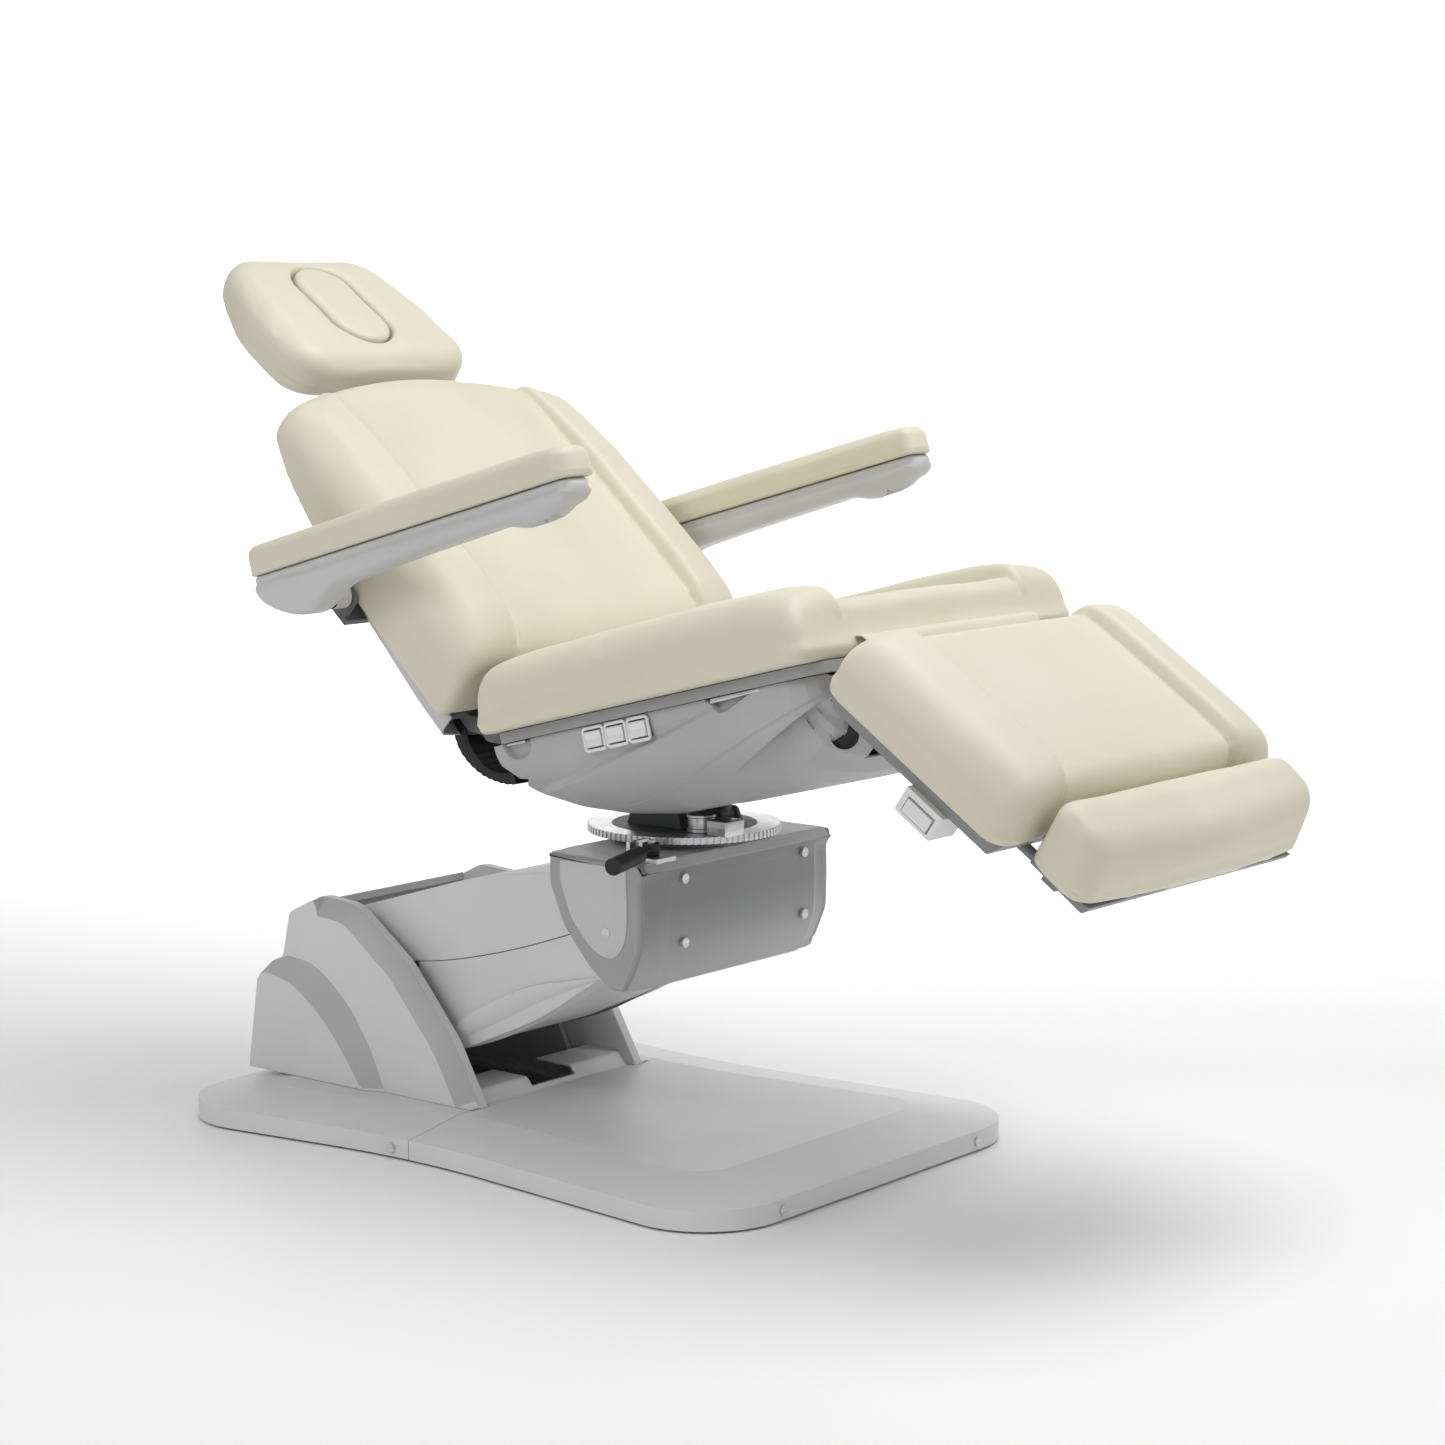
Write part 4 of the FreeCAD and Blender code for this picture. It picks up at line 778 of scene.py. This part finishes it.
def build_boat():
    stations = np.concatenate([np.linspace(50, 96, 40), np.linspace(98.3, 555, 200),
                               np.linspace(557, 599.5, 40)])
    turns = np.linspace(0.0, math.pi, 341)
    x, t = np.meshgrid(stations, turns, indexing="ij")
    p = boat_surface(x, t)
    along = np.gradient(p, axis=0)
    around = np.gradient(p, axis=1)
    normal = np.cross(along, around)
    normal /= np.maximum(np.linalg.norm(normal, axis=-1, keepdims=True), 1e-6)
    middle = np.array([330.0, 0, 540.0])
    normal *= np.sign(((p - middle) * normal).sum(-1, keepdims=True))
    normal[..., 0] *= smooth_step((x - 50) / 20) * smooth_step((602 - x) / 20)
    shaped = p - normal * boat_relief(p)[..., None]
    obj = grid_piece("boat_shell", level_place(shaped), BOAT_GREY)

    def doomed(x0, y0, z0):
        hinge_room = math.hypot(x0 - BACK_HINGE[0], z0 - BACK_HINGE[1]) < 90 and abs(y0) < 243
        yoke = x0 < 290 and abs(y0) < 72 and z0 < 520
        lever = x0 > 520 and abs(y0 + 105) < 24 and 468 < z0 < 562
        lug = x0 > 556 and abs(abs(y0) - 140) < 16 and z0 > 536
        return hinge_room or yoke or lever or lug

    cut_out(obj, shaped, doomed)
    thicken(obj, 3.0, 40)
    finish_piece(obj, "seat", ["seat_shell"])

    for side, name in SIDES:
        line_x = np.linspace(208, 592, 90)
        line_z = through(line_x, [196, 250, 283, 330, 381, 444, 511, 571, 594],
                         [466, 469, 473, 481, 493, 509, 526, 542, 551])
        low = boat_bottom(line_x)
        drop = np.clip((RAIL_LOW - 0.5 - line_z) / (RAIL_LOW - 0.5 - low), 0, 1)
        line_y = side * boat_half(line_x) * (1 - drop ** 2.6) ** (1 / 2.6)
        line = np.stack([line_x, line_y, line_z], -1)
        ridge = pipe("boat_ridge_" + name, level_place(line), 1.1, BOAT_GREY)
        finish_piece(ridge, "seat")
        # Painted shade: a shallow black cup stands in for the dark inside of the slot hole.
        hole = turned("boat_slot_shade_" + name, level_place(np.array([577.0, side * 190, 500])),
                      level_place(np.array([586.0, side * 200, 496])),
                      [(0, 1), (0, 15), (2, 17), (5, 17)], BLACK)
        finish_piece(hole, "seat")


build_boat()


def spline(points, count):
    """A smooth curve through the points."""
    points = np.array(points, dtype=float)
    padded = np.vstack([2 * points[0] - points[1], points, 2 * points[-1] - points[-2]])
    t = np.linspace(0, len(points) - 1 - 1e-9, count)
    i = t.astype(int)
    f = (t - i)[:, None]
    a, b, c, d = padded[i], padded[i + 1], padded[i + 2], padded[i + 3]
    square, cube = 2 * a - 5 * b + 4 * c - d, 3 * b - a - 3 * c + d
    return 0.5 * (2 * b + (c - a) * f + square * f ** 2 + cube * f ** 3)


def shrink(flat, amount):
    """An outline moved inwards by amount, which is a number or one per point, and its outward normals."""
    following = np.roll(flat, -1, 0) - np.roll(flat, 1, 0)
    normal = np.stack([following[:, 1], -following[:, 0]], -1)
    normal /= np.maximum(np.linalg.norm(normal, axis=1, keepdims=True), 1e-9)
    area = (flat[:, 0] * np.roll(flat[:, 1], -1) - np.roll(flat[:, 0], -1) * flat[:, 1]).sum()
    normal *= np.sign(area)
    return flat - normal * np.reshape(amount, (-1, 1)), normal


def stack_rings(name, rings, levels, place, material, angle=34):
    """A closed solid through outlines (x, z) at levels of y, with flat ends."""
    count = len(rings[0])
    points = []
    for ring, level in zip(rings, levels):
        points.append(np.stack([ring[:, 0], np.full(count, float(level)), ring[:, 1]], -1))
    points = np.concatenate(points)
    faces = [tuple(range(count))]
    for k in range(len(rings) - 1):
        for i in range(count):
            j = (i + 1) % count
            faces.append((k * count + i, k * count + j, (k + 1) * count + j, (k + 1) * count + i))
    faces.append(tuple(range(len(points) - 1, len(points) - count - 1, -1)))
    mesh = bpy.data.meshes.new(name)
    mesh.from_pydata(place(points).tolist(), [], faces)
    work = bmesh.new()
    work.from_mesh(mesh)
    bmesh.ops.recalc_face_normals(work, faces=work.faces)
    work.to_mesh(mesh)
    work.free()
    obj = new_object(name, mesh, material)
    shade_smooth(obj, angle)
    return obj


def dense(flat, gap=4.0):
    """More points along an outline, so that it can be shrunk evenly."""
    result = []
    for a, b in zip(flat, np.roll(flat, -1, 0)):
        steps = max(int(np.linalg.norm(b - a) / gap), 1)
        for k in range(steps):
            result.append(a + (b - a) * k / steps)
    return np.array(result)


# Knuckle: a D-shaped barrel with chamfered ends, and a cap with a raised D on each side

KNUCKLE = [(93, 413.8), (93, 373, 40), (117, 318, 60), (160, 270, 70), (196, 244, 36), (234, 243, 34),
           (259, 300, 60), (260.5, 352, 200), (259.5, 402, 2), (250.5, 413.8, 2)]


def knuckle_painted_shade():
    """Painted shade on the front cover: its grey deepens from its rounded foot to its top edge."""
    material, tree, shader = new_material("knuckle_front_painted_shade", (0.3, 0.3, 0.3), 0.42, 0.4)
    place = tree.nodes.new("ShaderNodeTexCoord")
    split = tree.nodes.new("ShaderNodeSeparateXYZ")
    tree.links.new(place.outputs["Object"], split.inputs["Vector"])
    ramp = tree.nodes.new("ShaderNodeValToRGB")
    ramp.color_ramp.interpolation = "B_SPLINE"
    ramp.color_ramp.elements[0].position = 0.0
    ramp.color_ramp.elements[0].color = (0.60, 0.60, 0.605, 1)
    ramp.color_ramp.elements[1].position = 1.0
    ramp.color_ramp.elements[1].color = (0.27, 0.273, 0.276, 1)
    span = tree.nodes.new("ShaderNodeMapRange")
    span.inputs["From Min"].default_value = 0.262
    span.inputs["From Max"].default_value = 0.350
    tree.links.new(split.outputs["Z"], span.inputs["Value"])
    tree.links.new(span.outputs["Result"], ramp.inputs["Fac"])
    tree.links.new(ramp.outputs["Color"], shader.inputs["Base Color"])
    vector = coords(tree)
    noise = add(tree, "ShaderNodeTexNoise", Scale=1500.0, Detail=2.0)
    tree.links.new(vector, noise.inputs["Vector"])
    tree.links.new(bump(tree, noise.outputs["Fac"], 0.07, 0.0004), shader.inputs["Normal"])
    return material


def build_knuckle():
    flat = dense(corner_arc(KNUCKLE, 10))
    levels = [-187, -184, -168, -152, -150, 150, 152, 168, 184, 187]
    insets = [13, 11, 10, 1.2, 0, 0, 1.2, 10, 11, 13]
    _, normal = shrink(flat, 0)
    front = smooth_step((normal[:, 0] - 0.1) / 0.5) * (1 - 0.85 * smooth_step((flat[:, 1] - 388) / 14))
    rings = [shrink(flat, amount * (0.12 + 0.88 * front))[0] for amount in insets]
    barrel = stack_rings("knuckle_barrel", rings, levels, plain_place, LIGHT_GREY, 30)
    # Front-facing faces of the barrel get the painted shade grey, darker towards the top edge.
    tint(barrel, knuckle_painted_shade(),
         lambda face: face.normal.x > 0.35 and face.center.x > 0.2 and face.center.z < 0.4)
    finish_piece(barrel, "knuckle", ["knuckle_hull", "knuckle_front_plate"])
    for side, name in SIDES:
        edge, _ = shrink(flat, 3 + 9 * front)
        inner, _ = shrink(flat, 5.5 + 9 * front)
        cap = stack_rings("knuckle_cap_cover_" + name, [edge, edge, inner],
                          [side * 184, side * 192.5, side * 195.5], plain_place, MID_CAP, 30)
        finish_piece(cap, "knuckle", ["knuckle_cap_" + name])
        badge = slab("knuckle_cap_relief_" + name,
                     [(116, 406, 3), (116, 378, 40), (136, 330, 60), (172, 293, 60), (206, 284, 40),
                      (226, 310, 40), (229, 345, 80), (227, 406, 3)],
                     side * 194.5, side * 197.5, plain_place, LIGHT_GREY, 1.4)
        finish_piece(badge, "knuckle")


MID_CAP = plastic("cap_grey_moulding", (0.36, 0.362, 0.36), (0.40, 0.402, 0.40))
build_knuckle()


# Column cheeks: a bevelled front band and a raised lower tier

CHEEK = [(-478, 45.4), (-457, 178, 6), (-417, 211, 14), (-403, 274, 14), (-352, 299, 30),
         (-285, 294, 60), (-190, 226, 120), (-105, 130, 200), (-56, 45.4)]
TIER_OUTER = [(-404, 211), (-352, 202), (-294, 162), (-250, 107), (-219, 45.4)]
TIER_INNER = [(-436, 186), (-382, 172), (-324, 131), (-279, 82), (-252, 45.4)]


def build_cheek(side, name):
    flat = dense(corner_arc(CHEEK, 10))
    _, normal = shrink(flat, 0)
    band = smooth_step((normal[:, 0] + 0.35) / 0.5) * smooth_step((normal[:, 1] + 0.15) / 0.15)
    wide, _ = shrink(flat, 24 * band + 2.5 * (normal[:, 1] > -0.5))
    wide[:, 1] = np.maximum(wide[:, 1], 45.4)
    slim, _ = shrink(flat, 1.6 * (normal[:, 1] > -0.5))
    cheek = stack_rings("cheek_cover_" + name, [slim, flat, flat, slim, wide],
                        [side * y for y in (150.0, 151.6, 165.5, 167.5, 182)], plain_place, PALE_GREY, 22)
    # Painted shade: the slanted bevel faces along the front band get the darker grey.
    tint(cheek, FRAME_GREY_AND_BEVEL_SHADE, lambda face: 0.15 < abs(face.normal.y) < 0.97 and face.center.z > 0.05
         and face.normal.z > 0.05 and face.area < 4e-4)
    finish_piece(cheek, "base", ["column_cheek_" + name])
    rear = [(-478.5, 45.4), (-457.5, 178)]
    outer = np.vstack([np.linspace(rear[0], rear[1], 30),
                       spline([(-457.5, 178), (-436, 199), (-404, 211)], 12)[1:-1],
                       spline(TIER_OUTER, 60)])
    rear = [(-475, 45.4), (-456, 172)]
    inner = np.vstack([np.linspace(rear[0], rear[1], 30),
                       spline([(-456, 172), (-448, 182), (-436, 186)], 12)[1:-1],
                       spline(TIER_INNER, 60)])
    middle = inner * 0.94 + outer * 0.06
    tier = stack_rings("cheek_tier_" + name, [outer, outer, middle, inner + (inner.mean(0) - inner) * 0.012],
                       [side * y for y in (178, 182.2, 193.4, 194)], plain_place, PALE_GREY, 22)
    # Painted shade: the slanted faces of the tier get the darker grey.
    tint(tier, FRAME_GREY_AND_BEVEL_SHADE, lambda face: 0.15 < abs(face.normal.y) < 0.99 and face.center.z > 0.05)
    finish_piece(tier, "base")


build_cheek(-1, "right")
build_cheek(1, "left")


# Lift arm covers, drawn along the arm from its lower pivot

ARM_FOOT = (-300.0, 200.0)
ARM_RISE = math.atan2(130, 470)


def arm_place(p):
    c, s = math.cos(ARM_RISE), math.sin(ARM_RISE)
    u, y, h = p[..., 0], p[..., 1], p[..., 2]
    return np.stack([ARM_FOOT[0] + u * c - h * s, y, ARM_FOOT[1] + u * s + h * c], -1) * MM


def build_arm():
    seam = spline([(20, 0), (67, -2), (140, -11), (210, -15), (290, -15), (370, -11), (450, -4),
                   (530, -1)], 40)
    top = corner_arc([(532, 56, 40), (438, 62, 60), (372, 74, 300), (250, 90, 900), (0, 84, 90),
                      (-73, 62, 55), (-73, 0.5, 4)], 8)
    upper = [tuple(point) for point in np.vstack([seam + (0, 0.5), top])]
    obj = slab("arm_upper_skin", upper, -130, 130, arm_place, PALE_GREY, 11, segments=6)
    finish_piece(obj, "lift_arm", ["arm_upper_cover"])
    low = corner_arc([(528, -56, 40), (440, -68, 160), (300, -112, 500), (150, -134, 120),
                      (95, -118, 30), (95, -12, 3)], 8)
    inner_seam = seam[(seam[:, 0] > 96) & (seam[:, 0] < 528)] - (0, 0.6)
    lower = [tuple(point) for point in np.vstack([inner_seam, low])]
    obj = slab("arm_lower_skin", lower, -129, 129, arm_place, PALE_GREY, 5, segments=3)
    finish_piece(obj, "lift_arm", ["arm_lower_cover"])
    ridge = spline([(98, -132), (150, -100), (196, -84), (292, -68), (372, -70), (446, -73)], 60)
    foot = spline([(98, -134), (160, -134), (230, -126), (330, -104), (400, -86), (446, -74)], 60)
    for side, name in SIDES:
        rows = []
        t = np.linspace(0, 1, 16)
        bulge = np.sin(np.linspace(0, math.pi, 60)) ** 0.5
        for i in range(60):
            y = 128 + 7.5 * bulge[i] * np.sqrt(1 - t ** 2) - 26 * bulge[i] * t ** 3
            flat = ridge[i] + (foot[i] - ridge[i]) * t[:, None]
            lip = np.array([[ridge[i][0], side * 126, ridge[i][1] + 1.5 * bulge[i]]])
            rows.append(np.vstack([lip, np.stack([flat[:, 0], side * y, flat[:, 1]], -1)]))
        leaf = grid_piece("arm_leaf_" + name, arm_place(np.array(rows)), PALE_GREY)
        shade_smooth(leaf, 50)
        finish_piece(leaf, "lift_arm")


build_arm()


# Armrest shells, with a domed grip under the front end

def shell_low(x):
    return through(x, [-195, -183, -168, -140, -106, -78, -60, -40, -10, 92, 300, 376, 392],
                   [834, 824, 809, 794, 785, 788, 800, 811, 814, 820, 829, 833, 842])


def shell_high(x):
    return np.interp(x, [-195, 395], [849.2, 861.0])


def armrest_shell_solid(p):
    x, y, z = p[:, 0], np.abs(p[:, 1]) - ARM_Y, p[:, 2]
    high, low = shell_high(x), shell_low(x)
    ledge = 4.2 * smooth_step((z - high + 14) / 2.5) + 0.14 * np.maximum(high - 14 - z, 0)
    plan = rounded([-185 - x, x - 386, np.abs(y) - 28.0 + ledge], 18)
    body = rounded([plan, low - z], 12)
    body = rounded([body, z - high], 1.5)
    dome = np.sqrt(((x - 313) / 58.0) ** 2 + (y / 25.5) ** 2 + (np.minimum(z - 838, 0) / 22.0) ** 2) * 22 - 22
    dome = np.maximum(dome, z - 842)
    k = 6.0
    blend_zone = np.maximum(k - np.abs(body - dome), 0) / k
    return np.minimum(body, dome) - blend_zone ** 2 * k * 0.25


def moulding(name, start, place, solid):
    """A smooth hard moulding: a rough start, in mm, is remeshed and settled on to solid."""
    remesh = start.modifiers.new("remesh", "REMESH")
    remesh.mode = "VOXEL"
    remesh.voxel_size = 3.2 * MM
    apply_modifiers(start)
    p = read_points(start.data) * 1000
    for _ in range(4):
        p = settle(relax(start.data, p, 2), solid, 2)
    p = settle(p, solid, 3)
    write_points(start.data, place(p))
    start.name = name
    shade_smooth(start, 60)
    return start


def build_armrest_shell(name, side):
    stations = np.linspace(-178, 379, 60)
    outline = [(x, shell_low(x) + 2) for x in stations] + [(379, 857), (-178, 846)]
    start = slab("start", outline, ARM_Y - 25, ARM_Y + 25, plain_place, LIGHT_GREY, 0)
    obj = moulding("armrest_moulding_" + name, start, level_place, armrest_shell_solid)
    if side < 0:
        obj.data.transform(Matrix.Scale(-1, 4, (0, 1, 0)))
        obj.data.flip_normals()
    finish_piece(obj, "armrest_" + name, ["armrest_shell_" + name])
    boss = turned("armrest_boss_" + name, level_place(np.array([-95.0, side * 300.6, 805.0])),
                  level_place(np.array([-95.0, side * 326.0, 805.0])),
                  [(0, 1), (0, 14.5), (1.5, 16.5), (25, 16.5)], LIGHT_GREY, 33)
    finish_piece(boss, "armrest_" + name)


build_armrest_shell("left", 1)
build_armrest_shell("right", -1)


# The vinyl flap that bridges the seat and the legrest: an arch in section, sewn under both

def build_flap():
    arch = spline([(601, 592), (603, 602), (610, 609.5), (619, 611), (627, 607), (631, 598), (633, 586)], 34)
    across = np.linspace(-182, 182, 74)
    ripple = 0.6 * np.sin(across / 17.0) * np.sin(across / 41.0)
    rows = []
    for k, (x, z) in enumerate(arch):
        lift = math.sin(math.pi * k / 33)
        height = z + ripple * lift - 1.2 * lift * (across / 182) ** 2
        rows.append(np.stack([x + 0 * across, across, height], -1))
    obj = grid_piece("knee_flap_vinyl", level_place(np.array(rows)), VINYL)
    thicken(obj, 1.6, 60)
    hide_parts("knee_flap")
    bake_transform(obj)


build_flap()


# Back shell: a thin dished tray behind the back cushion

def build_back_shell():
    stations = np.concatenate([np.linspace(41, 500, 90), np.linspace(503, 527, 14)])
    under = through(stations, [30, 155, 270, 371, 440, 505, 528], [-24, -21, -15, 0, 16, 44, 54])
    rear = through(stations, [40, 100, 150, 230, 330, 440, 500, 528], [-58, -56, -51, -43, -29, -8, 18, 40])
    rows = []
    for a, top, deep in zip(stations, under, rear):
        half = 262 - 26 * max(0.0, (a - 470) / 57) ** 2
        top = top + 1.0
        depth = top - deep
        section = corner_arc([(-half, top), (-half, deep + 4, min(12, depth * 0.45)), (-196, deep - 5, 60),
                              (196, deep - 5, 60), (half, deep + 4, min(12, depth * 0.45)), (half, top)], 7)
        rows.append(np.stack([np.full(len(section), a), section[:, 0], section[:, 1]], -1))
    cap = rows[-1].copy()
    cap[:, 2] = np.maximum(cap[:, 2], under[-1])
    rows.append(cap)
    rows = np.array(rows)
    obj = grid_piece("back_shell_tray", back_place(rows), LIGHT_GREY)
    thicken(obj, 2.6, 45, even=True)
    finish_piece(obj, "backrest", ["back_shell"])


build_back_shell()


# The black skirt over the backrest hinge, finely ribbed, slotted for the actuator, with a web at each end

def build_skirt():
    x0, z0 = BACK_HINGE
    turn = np.linspace(150, 276, 103)
    angles = np.radians(turn)
    ribs = through(turn, [150, 172, 186, 216, 250, 276], [79, 83, 84, 76, 73, 79]) + 0.5 * np.sin(angles * 44)
    across = np.linspace(-222, 222, 149)
    rows = []
    for angle, radius in zip(angles, ribs):
        rows.append(np.stack([np.full(len(across), x0 + radius * math.cos(angle)), across,
                              np.full(len(across), z0 + radius * math.sin(angle))], -1))
    rows = np.array(rows)
    obj = grid_piece("hinge_skirt", level_place(rows), BLACK)

    def doomed(x, y, z):
        slot = abs(y + 1.5 - BACK_SCREW_Y) < 27 or abs(abs(y + 1.5) - 59) < 9
        return slot and x > -4 and z < 563

    cut_out(obj, rows, doomed)
    thicken(obj, 2.5, 50)
    finish_piece(obj, "backrest", ["back_hinge_cover"])
    for side, name in SIDES:
        rim = [(x0 + (r - 1.5) * math.cos(t), z0 + (r - 1.5) * math.sin(t)) for r, t in zip(ribs, angles)]
        hub = [(x0 + 62 * math.cos(t), z0 + 62 * math.sin(t)) for t in np.radians(np.linspace(276, 150, 20))]
        web = slab("hinge_web_" + name, rim + hub, side * 219.5, side * 222, level_place, BLACK, 0.6)
        finish_piece(web, "backrest")


build_skirt()


# Small parts: switch bezels, pocket clips, and the drum and block beside the tilt drive

def frame_path(x, z, half_x, half_z, radius, y):
    outline = corner_arc([(x - half_x, z - half_z, radius), (x + half_x, z - half_z, radius),
                          (x + half_x, z + half_z, radius), (x - half_x, z + half_z, radius)], 5)
    outline = np.vstack([outline, outline[:2]])
    return np.stack([outline[:, 0], np.full(len(outline), float(y)), outline[:, 1]], -1)


for number in range(3):
    bezel = pipe("rocker_bezel_%d" % (number + 1),
                 level_place(frame_path(ROCKER_X + ROCKER_PITCH * number, ROCKER_Z, 16.2, 14.0, 4, -262.0)),
                 2.3, WHITE)
    finish_piece(bezel, "seat")

for side, name in SIDES:
    clip = slab("pocket_clip_" + name, [(442, 567, 1.5), (522, 569, 1.5), (520, 573, 1.5), (444, 573, 1.5)],
                side * 256, side * 261.8, level_place, STEEL, 0.6)
    finish_piece(clip, "seat")
    tab = slab("tip_tab_" + name, [(100, 570, 1), (132, 570, 1), (132, 573.4, 1), (100, 573.4, 1)],
               side * 250, side * 259, level_place, STEEL, 0.5)
    finish_piece(tab, "seat")

drum = turned("tilt_drive_drum", (0.226, -0.046, 0.434), (0.226, -0.046, 0.458),
              [(0, 1), (0, 17), (1, 19), (5, 19), (6, 17.5), (19, 17.5), (20, 19), (23, 19), (24, 18),
               (24, 1)], STEEL)
finish_piece(drum, "turntable")
box = slab("tilt_drive_box", [(250, -66, 3), (284, -66, 3), (284, -28, 3), (250, -28, 3)], 434.0, 454,
           plain_place, STEEL, 1.2, axis="z")
finish_piece(box, "turntable")


# Studio

NODE_TONES = {
    "base_cover_front": PALE_GREY, "base_cover_rear": PALE_GREY, "column_rear_cover": PALE_GREY,
    "column_frame": FRAME_GREY_AND_BEVEL_SHADE, "arm_frame": FRAME_GREY_AND_BEVEL_SHADE, "lift_actuator_body": RAIL_GREY,
    "knuckle_frame": LIGHT_GREY, "seat_rail": RAIL_GREY, "leg_board": BOARD_GREY, "foot_board": BOARD_GREY,
}


def studio():
    for name, obj in NODES.items():
        wanted = frame["record"]["subparts"]
        slot = next((s["material_slot"] for s in wanted if s["node"] == name), None)
        if slot in SLOT_MATERIALS and obj.type == "MESH":
            obj.data.materials.clear()
            obj.data.materials.append(NODE_TONES.get(name, SLOT_MATERIALS[slot]))
            shade_smooth(obj, 32)

    floor_material, _, _ = new_material("studio_floor", (0.95, 0.95, 0.95), 0.5, 0.2)
    mesh = bpy.data.meshes.new("studio_floor")
    lanes = 24
    verts, faces = [], []
    for i in range(lanes + 1):
        t = i / lanes
        if t < 0.5:
            y, z = -6 + 16 * t * 1.25, 0.0
        else:
            turn = (t - 0.5) * math.pi
            y, z = 4 + 4 * math.sin(turn), 4 * (1 - math.cos(turn))
        verts += [(-12, y, z), (12, y, z)]
    for i in range(lanes):
        faces.append((2 * i, 2 * i + 1, 2 * i + 3, 2 * i + 2))
    mesh.from_pydata(verts, [], faces)
    floor = new_object("studio_floor", mesh, floor_material)
    floor.rotation_euler = (0, 0, math.radians(39))
    shade_smooth(floor)

    world = bpy.data.worlds.new("studio")
    bpy.context.scene.world = world
    world.use_nodes = True
    world.node_tree.nodes["Background"].inputs["Color"].default_value = (1, 1, 1, 1)
    world.node_tree.nodes["Background"].inputs["Strength"].default_value = 0.38

    def area(name, spot, aim, size, power):
        light = bpy.data.lights.new(name, "AREA")
        light.shape = "RECTANGLE"
        light.size, light.size_y = size
        light.energy = power
        obj = bpy.data.objects.new(name, light)
        obj.location = spot
        obj.rotation_euler = (Vector(aim) - Vector(spot)).to_track_quat("-Z", "Y").to_euler()
        COLLECTION.objects.link(obj)

    area("overhead", (1.0, 0.4, 3.4), (0.2, 0, 0.4), (2.6, 2.2), 66)
    area("key", (-0.4, -4.0, 2.7), (0.1, 0, 0.5), (1.8, 1.8), 42)
    area("edge", (3.6, 1.6, 1.6), (0.4, 0, 0.6), (1.4, 1.8), 14)
    area("backdrop_light", (-1.5, 2.6, 4.0), (-3.6, 5.6, 1.6), (5.0, 2.0), 330)

    camera = bpy.data.cameras.new("camera")
    camera.sensor_width = 36
    camera.lens = 80.70
    obj = bpy.data.objects.new("camera", camera)
    azimuth, elevation = math.radians(39.01666526), math.radians(7.6030189)
    forward = Vector((-math.sin(azimuth) * math.cos(elevation), math.cos(azimuth) * math.cos(elevation),
                      -math.sin(elevation)))
    right = Vector((math.cos(azimuth), math.sin(azimuth), 0))
    up = right.cross(forward)
    matrix = Matrix((right, up, -forward)).transposed().to_4x4()
    matrix.translation = Vector((2.844334, -3.233764, 1.126542))
    obj.matrix_world = matrix
    COLLECTION.objects.link(obj)
    bpy.context.scene.camera = obj
    bpy.context.scene.view_settings.view_transform = "Standard"


studio()
